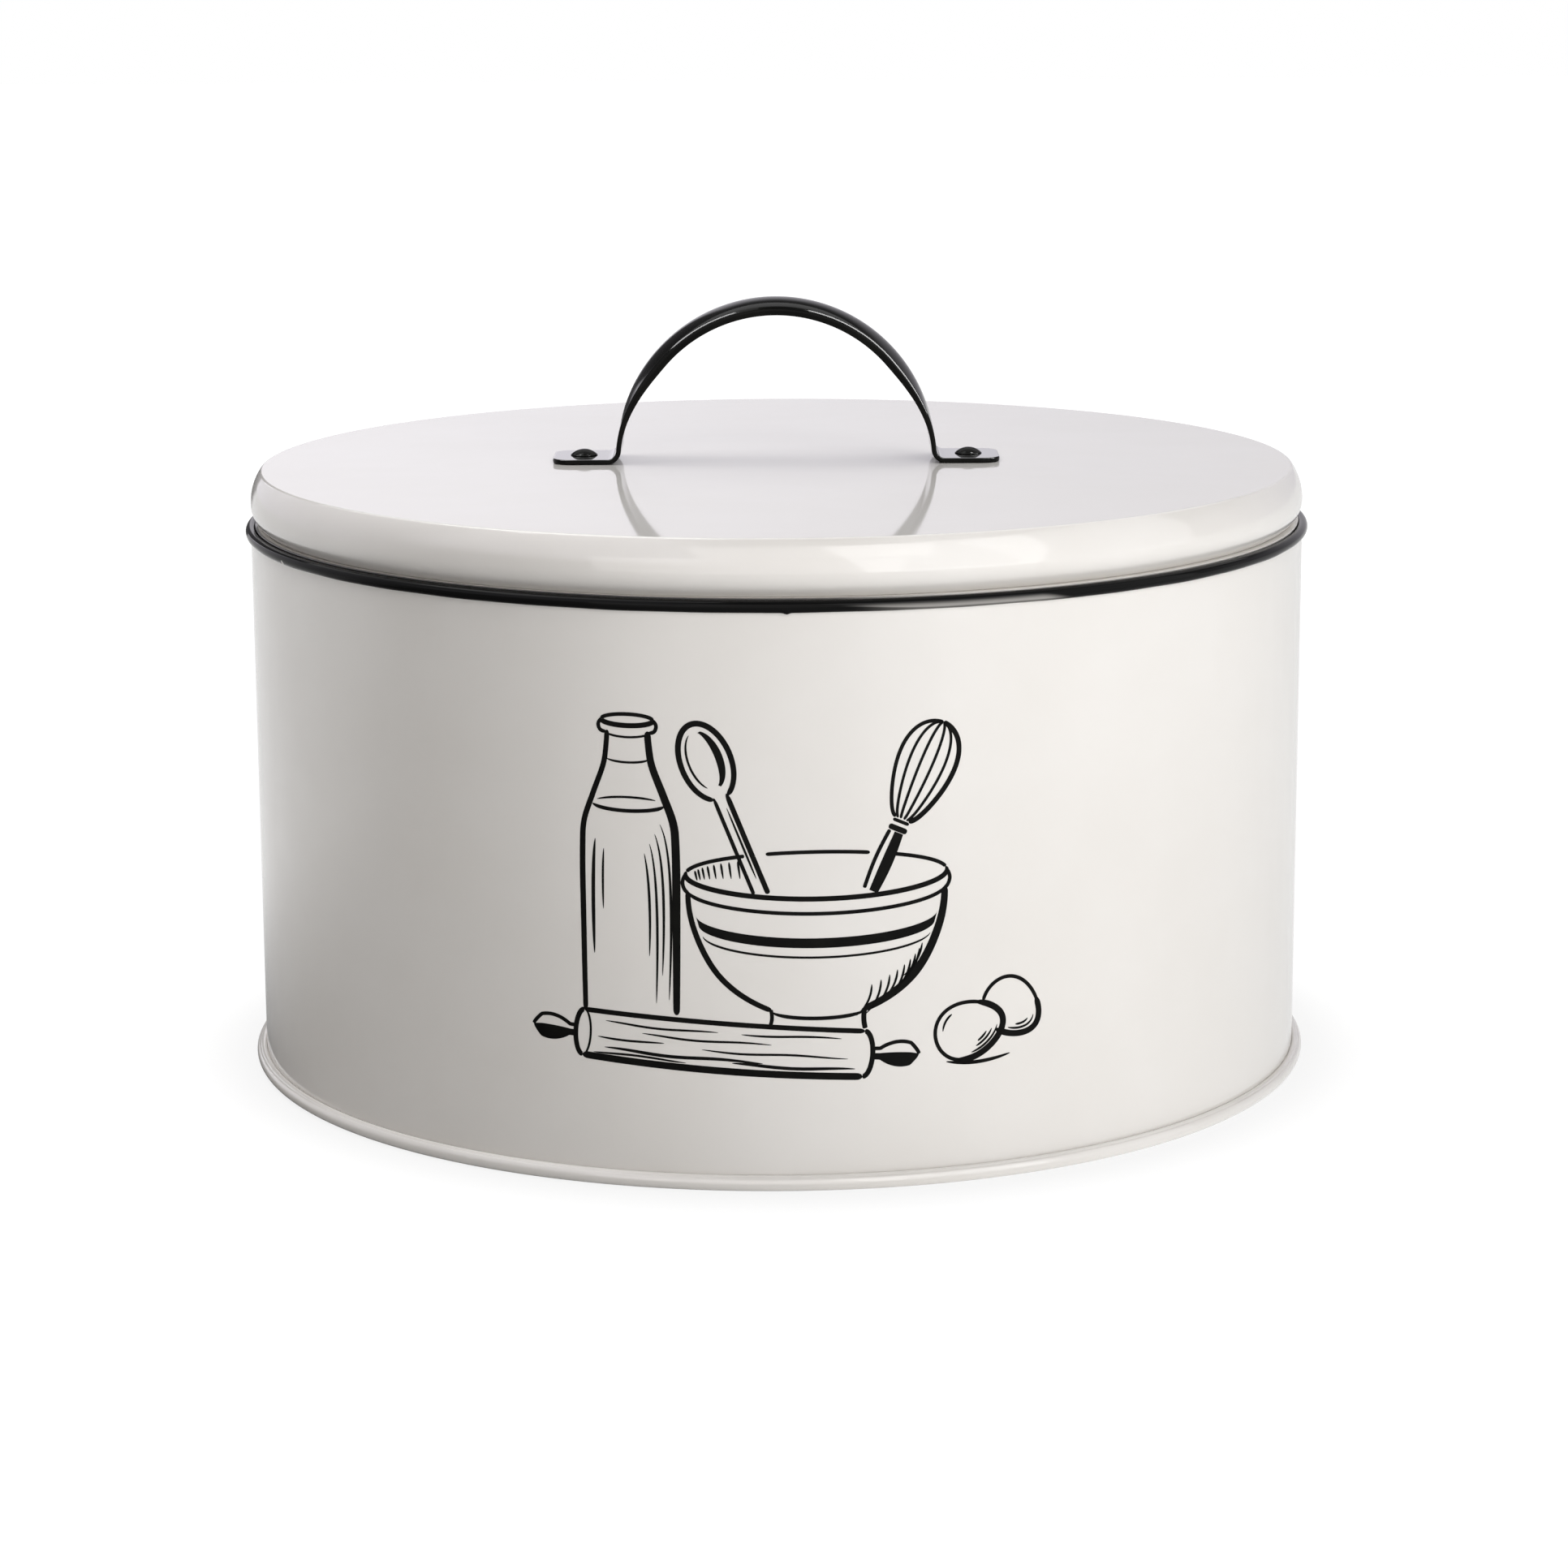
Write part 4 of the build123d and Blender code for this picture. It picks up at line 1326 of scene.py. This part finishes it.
def soft_box(
    name, angles, distance, size, radiance,
    target=TIN_MIDDLE, colour=WHITE_LIGHT, lights=True, mirrors=True,
):
    """Rectangular lamp at an azimuth and elevation from the front, facing its target.

    A radiance of 1 would look white. The lamp can be left out of plain light or out of reflections.
    """
    width, height = size
    lamp = bpy.data.lights.new(name, "AREA")
    lamp.shape = "RECTANGLE"
    lamp.size = width
    lamp.size_y = height
    lamp.energy = radiance * np.pi * width * height
    lamp.color = colour
    a, e = np.radians(angles)
    away = np.array([np.sin(a) * np.cos(e), -np.cos(a) * np.cos(e), np.sin(e)])
    right = np.array([np.cos(a), np.sin(a), 0.0])
    up = np.cross(away, right)
    place = np.eye(4)
    place[:3, 0], place[:3, 1], place[:3, 2] = right, up, away
    place[:3, 3] = np.array(target) + distance * away
    box = bpy.data.objects.new(name, lamp)
    box.matrix_world = Matrix(place.tolist())
    box.visible_diffuse = lights
    box.visible_glossy = mirrors
    bpy.context.scene.collection.objects.link(box)
    return box


def studio_camera():
    """Camera before the tin, a little above the lid, as the picture was taken."""
    pitch, pan, roll = np.radians(CAMERA_TURN)
    forward = np.array([np.sin(pan) * np.cos(pitch), np.cos(pan) * np.cos(pitch), -np.sin(pitch)])
    right = np.array([np.cos(pan), -np.sin(pan), 0.0])
    up = np.cross(right, forward)
    place = np.eye(4)
    place[:3, 0] = np.cos(roll) * right + np.sin(roll) * up
    place[:3, 1] = -np.sin(roll) * right + np.cos(roll) * up
    place[:3, 2] = -forward
    place[:3, 3] = CAMERA_PLACE
    lens = bpy.data.cameras.new("camera")
    lens.sensor_width = CAMERA_SENSOR
    lens.lens = CAMERA_LENS
    lens.clip_start = CAMERA_NEAR
    camera = bpy.data.objects.new("camera", lens)
    camera.matrix_world = Matrix(place.tolist())
    bpy.context.scene.collection.objects.link(camera)
    bpy.context.scene.camera = camera


def settle(piece, body, cad_node):
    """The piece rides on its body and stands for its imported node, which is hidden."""
    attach(piece, body)
    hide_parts(cad_node)


# Pieces on their bodies
cream = cream_enamel()
seat = seat_painted_shade_enamel()
black = black_enamel()
rim_black = rim_enamel()
foot_black = foot_enamel()
ink = print_ink()
steel = washer_steel()

settle(body_wall(cream), "tin", "body_wall")
settle(rim_roll(rim_black), "tin", "rim_roll")
settle(base_plate(cream), "tin", "base_plate")
settle(lid_panel(cream), "lid", "lid_panel")
settle(lid_neck(seat), "lid", "lid_neck")
handle_pieces = [handle_strap(black, foot_black)]
settle(handle_pieces[0], "lid", "handle_strap")
for word, side in (("left", -1), ("right", 1)):
    handle_pieces.append(rivet(f"{word}_rivet_dome", side, black))
    settle(handle_pieces[-1], "lid", f"{word}_rivet")
    settle(washer(f"{word}_washer_ring", side, steel), "lid", f"{word}_washer")

print_piece = front_print(ink)
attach(print_piece, "tin")

# Light and camera: a lamp has its azimuth and elevation, distance, width and height, and radiance
studio_floor()
studio_world()
soft_box("key_light", (36.0, 22.0), 1.5, (1.1, 1.4), 2.12)
soft_box("far_right_light", (95.0, 20.0), 1.5, (1.0, 1.2), 0.2)
soft_box("front_light", (8.0, 36.0), 1.5, (1.2, 0.6), 1.6, colour=WARM_LIGHT)
soft_box("front_shine", (-6.0, 11.0), 1.5, (1.8, 0.7), 1.4, colour=WARM_LIGHT, lights=False)
soft_box("right_shine", (72.0, 22.0), 1.5, (1.3, 1.3), 1.1, lights=False)
soft_box("left_strip", (-105.0, 12.0), 1.3, (0.4, 1.0), 1.9, colour=WARM_LIGHT, mirrors=False)
soft_box("back_light", (180.0, 62.0), 1.2, (2.4, 1.2), 1.15, LID_MIDDLE)
soft_box("over_left_light", (-90.0, 68.0), 0.9, (0.6, 0.6), 3.0, LID_LEFT)
soft_box("over_right_light", (60.0, 65.0), 1.3, (0.8, 0.8), 0.5, LID_MIDDLE)
black_pieces = bpy.data.collections.new("handle_and_rivets")
for piece in handle_pieces:
    black_pieces.objects.link(piece)
for name, angles, size, radiance in (
    ("right_glint", (90.0, 46.0), (0.3, 1.5), 90.0),
    ("left_glint", (-90.0, 58.0), (0.24, 0.7), 80.0),
):
    glint = soft_box(name, angles, GLINT_DISTANCE, size, radiance, LID_MIDDLE, lights=False)
    glint.light_linking.receiver_collection = black_pieces
studio_camera()
bpy.context.scene.view_settings.view_transform = "Standard"
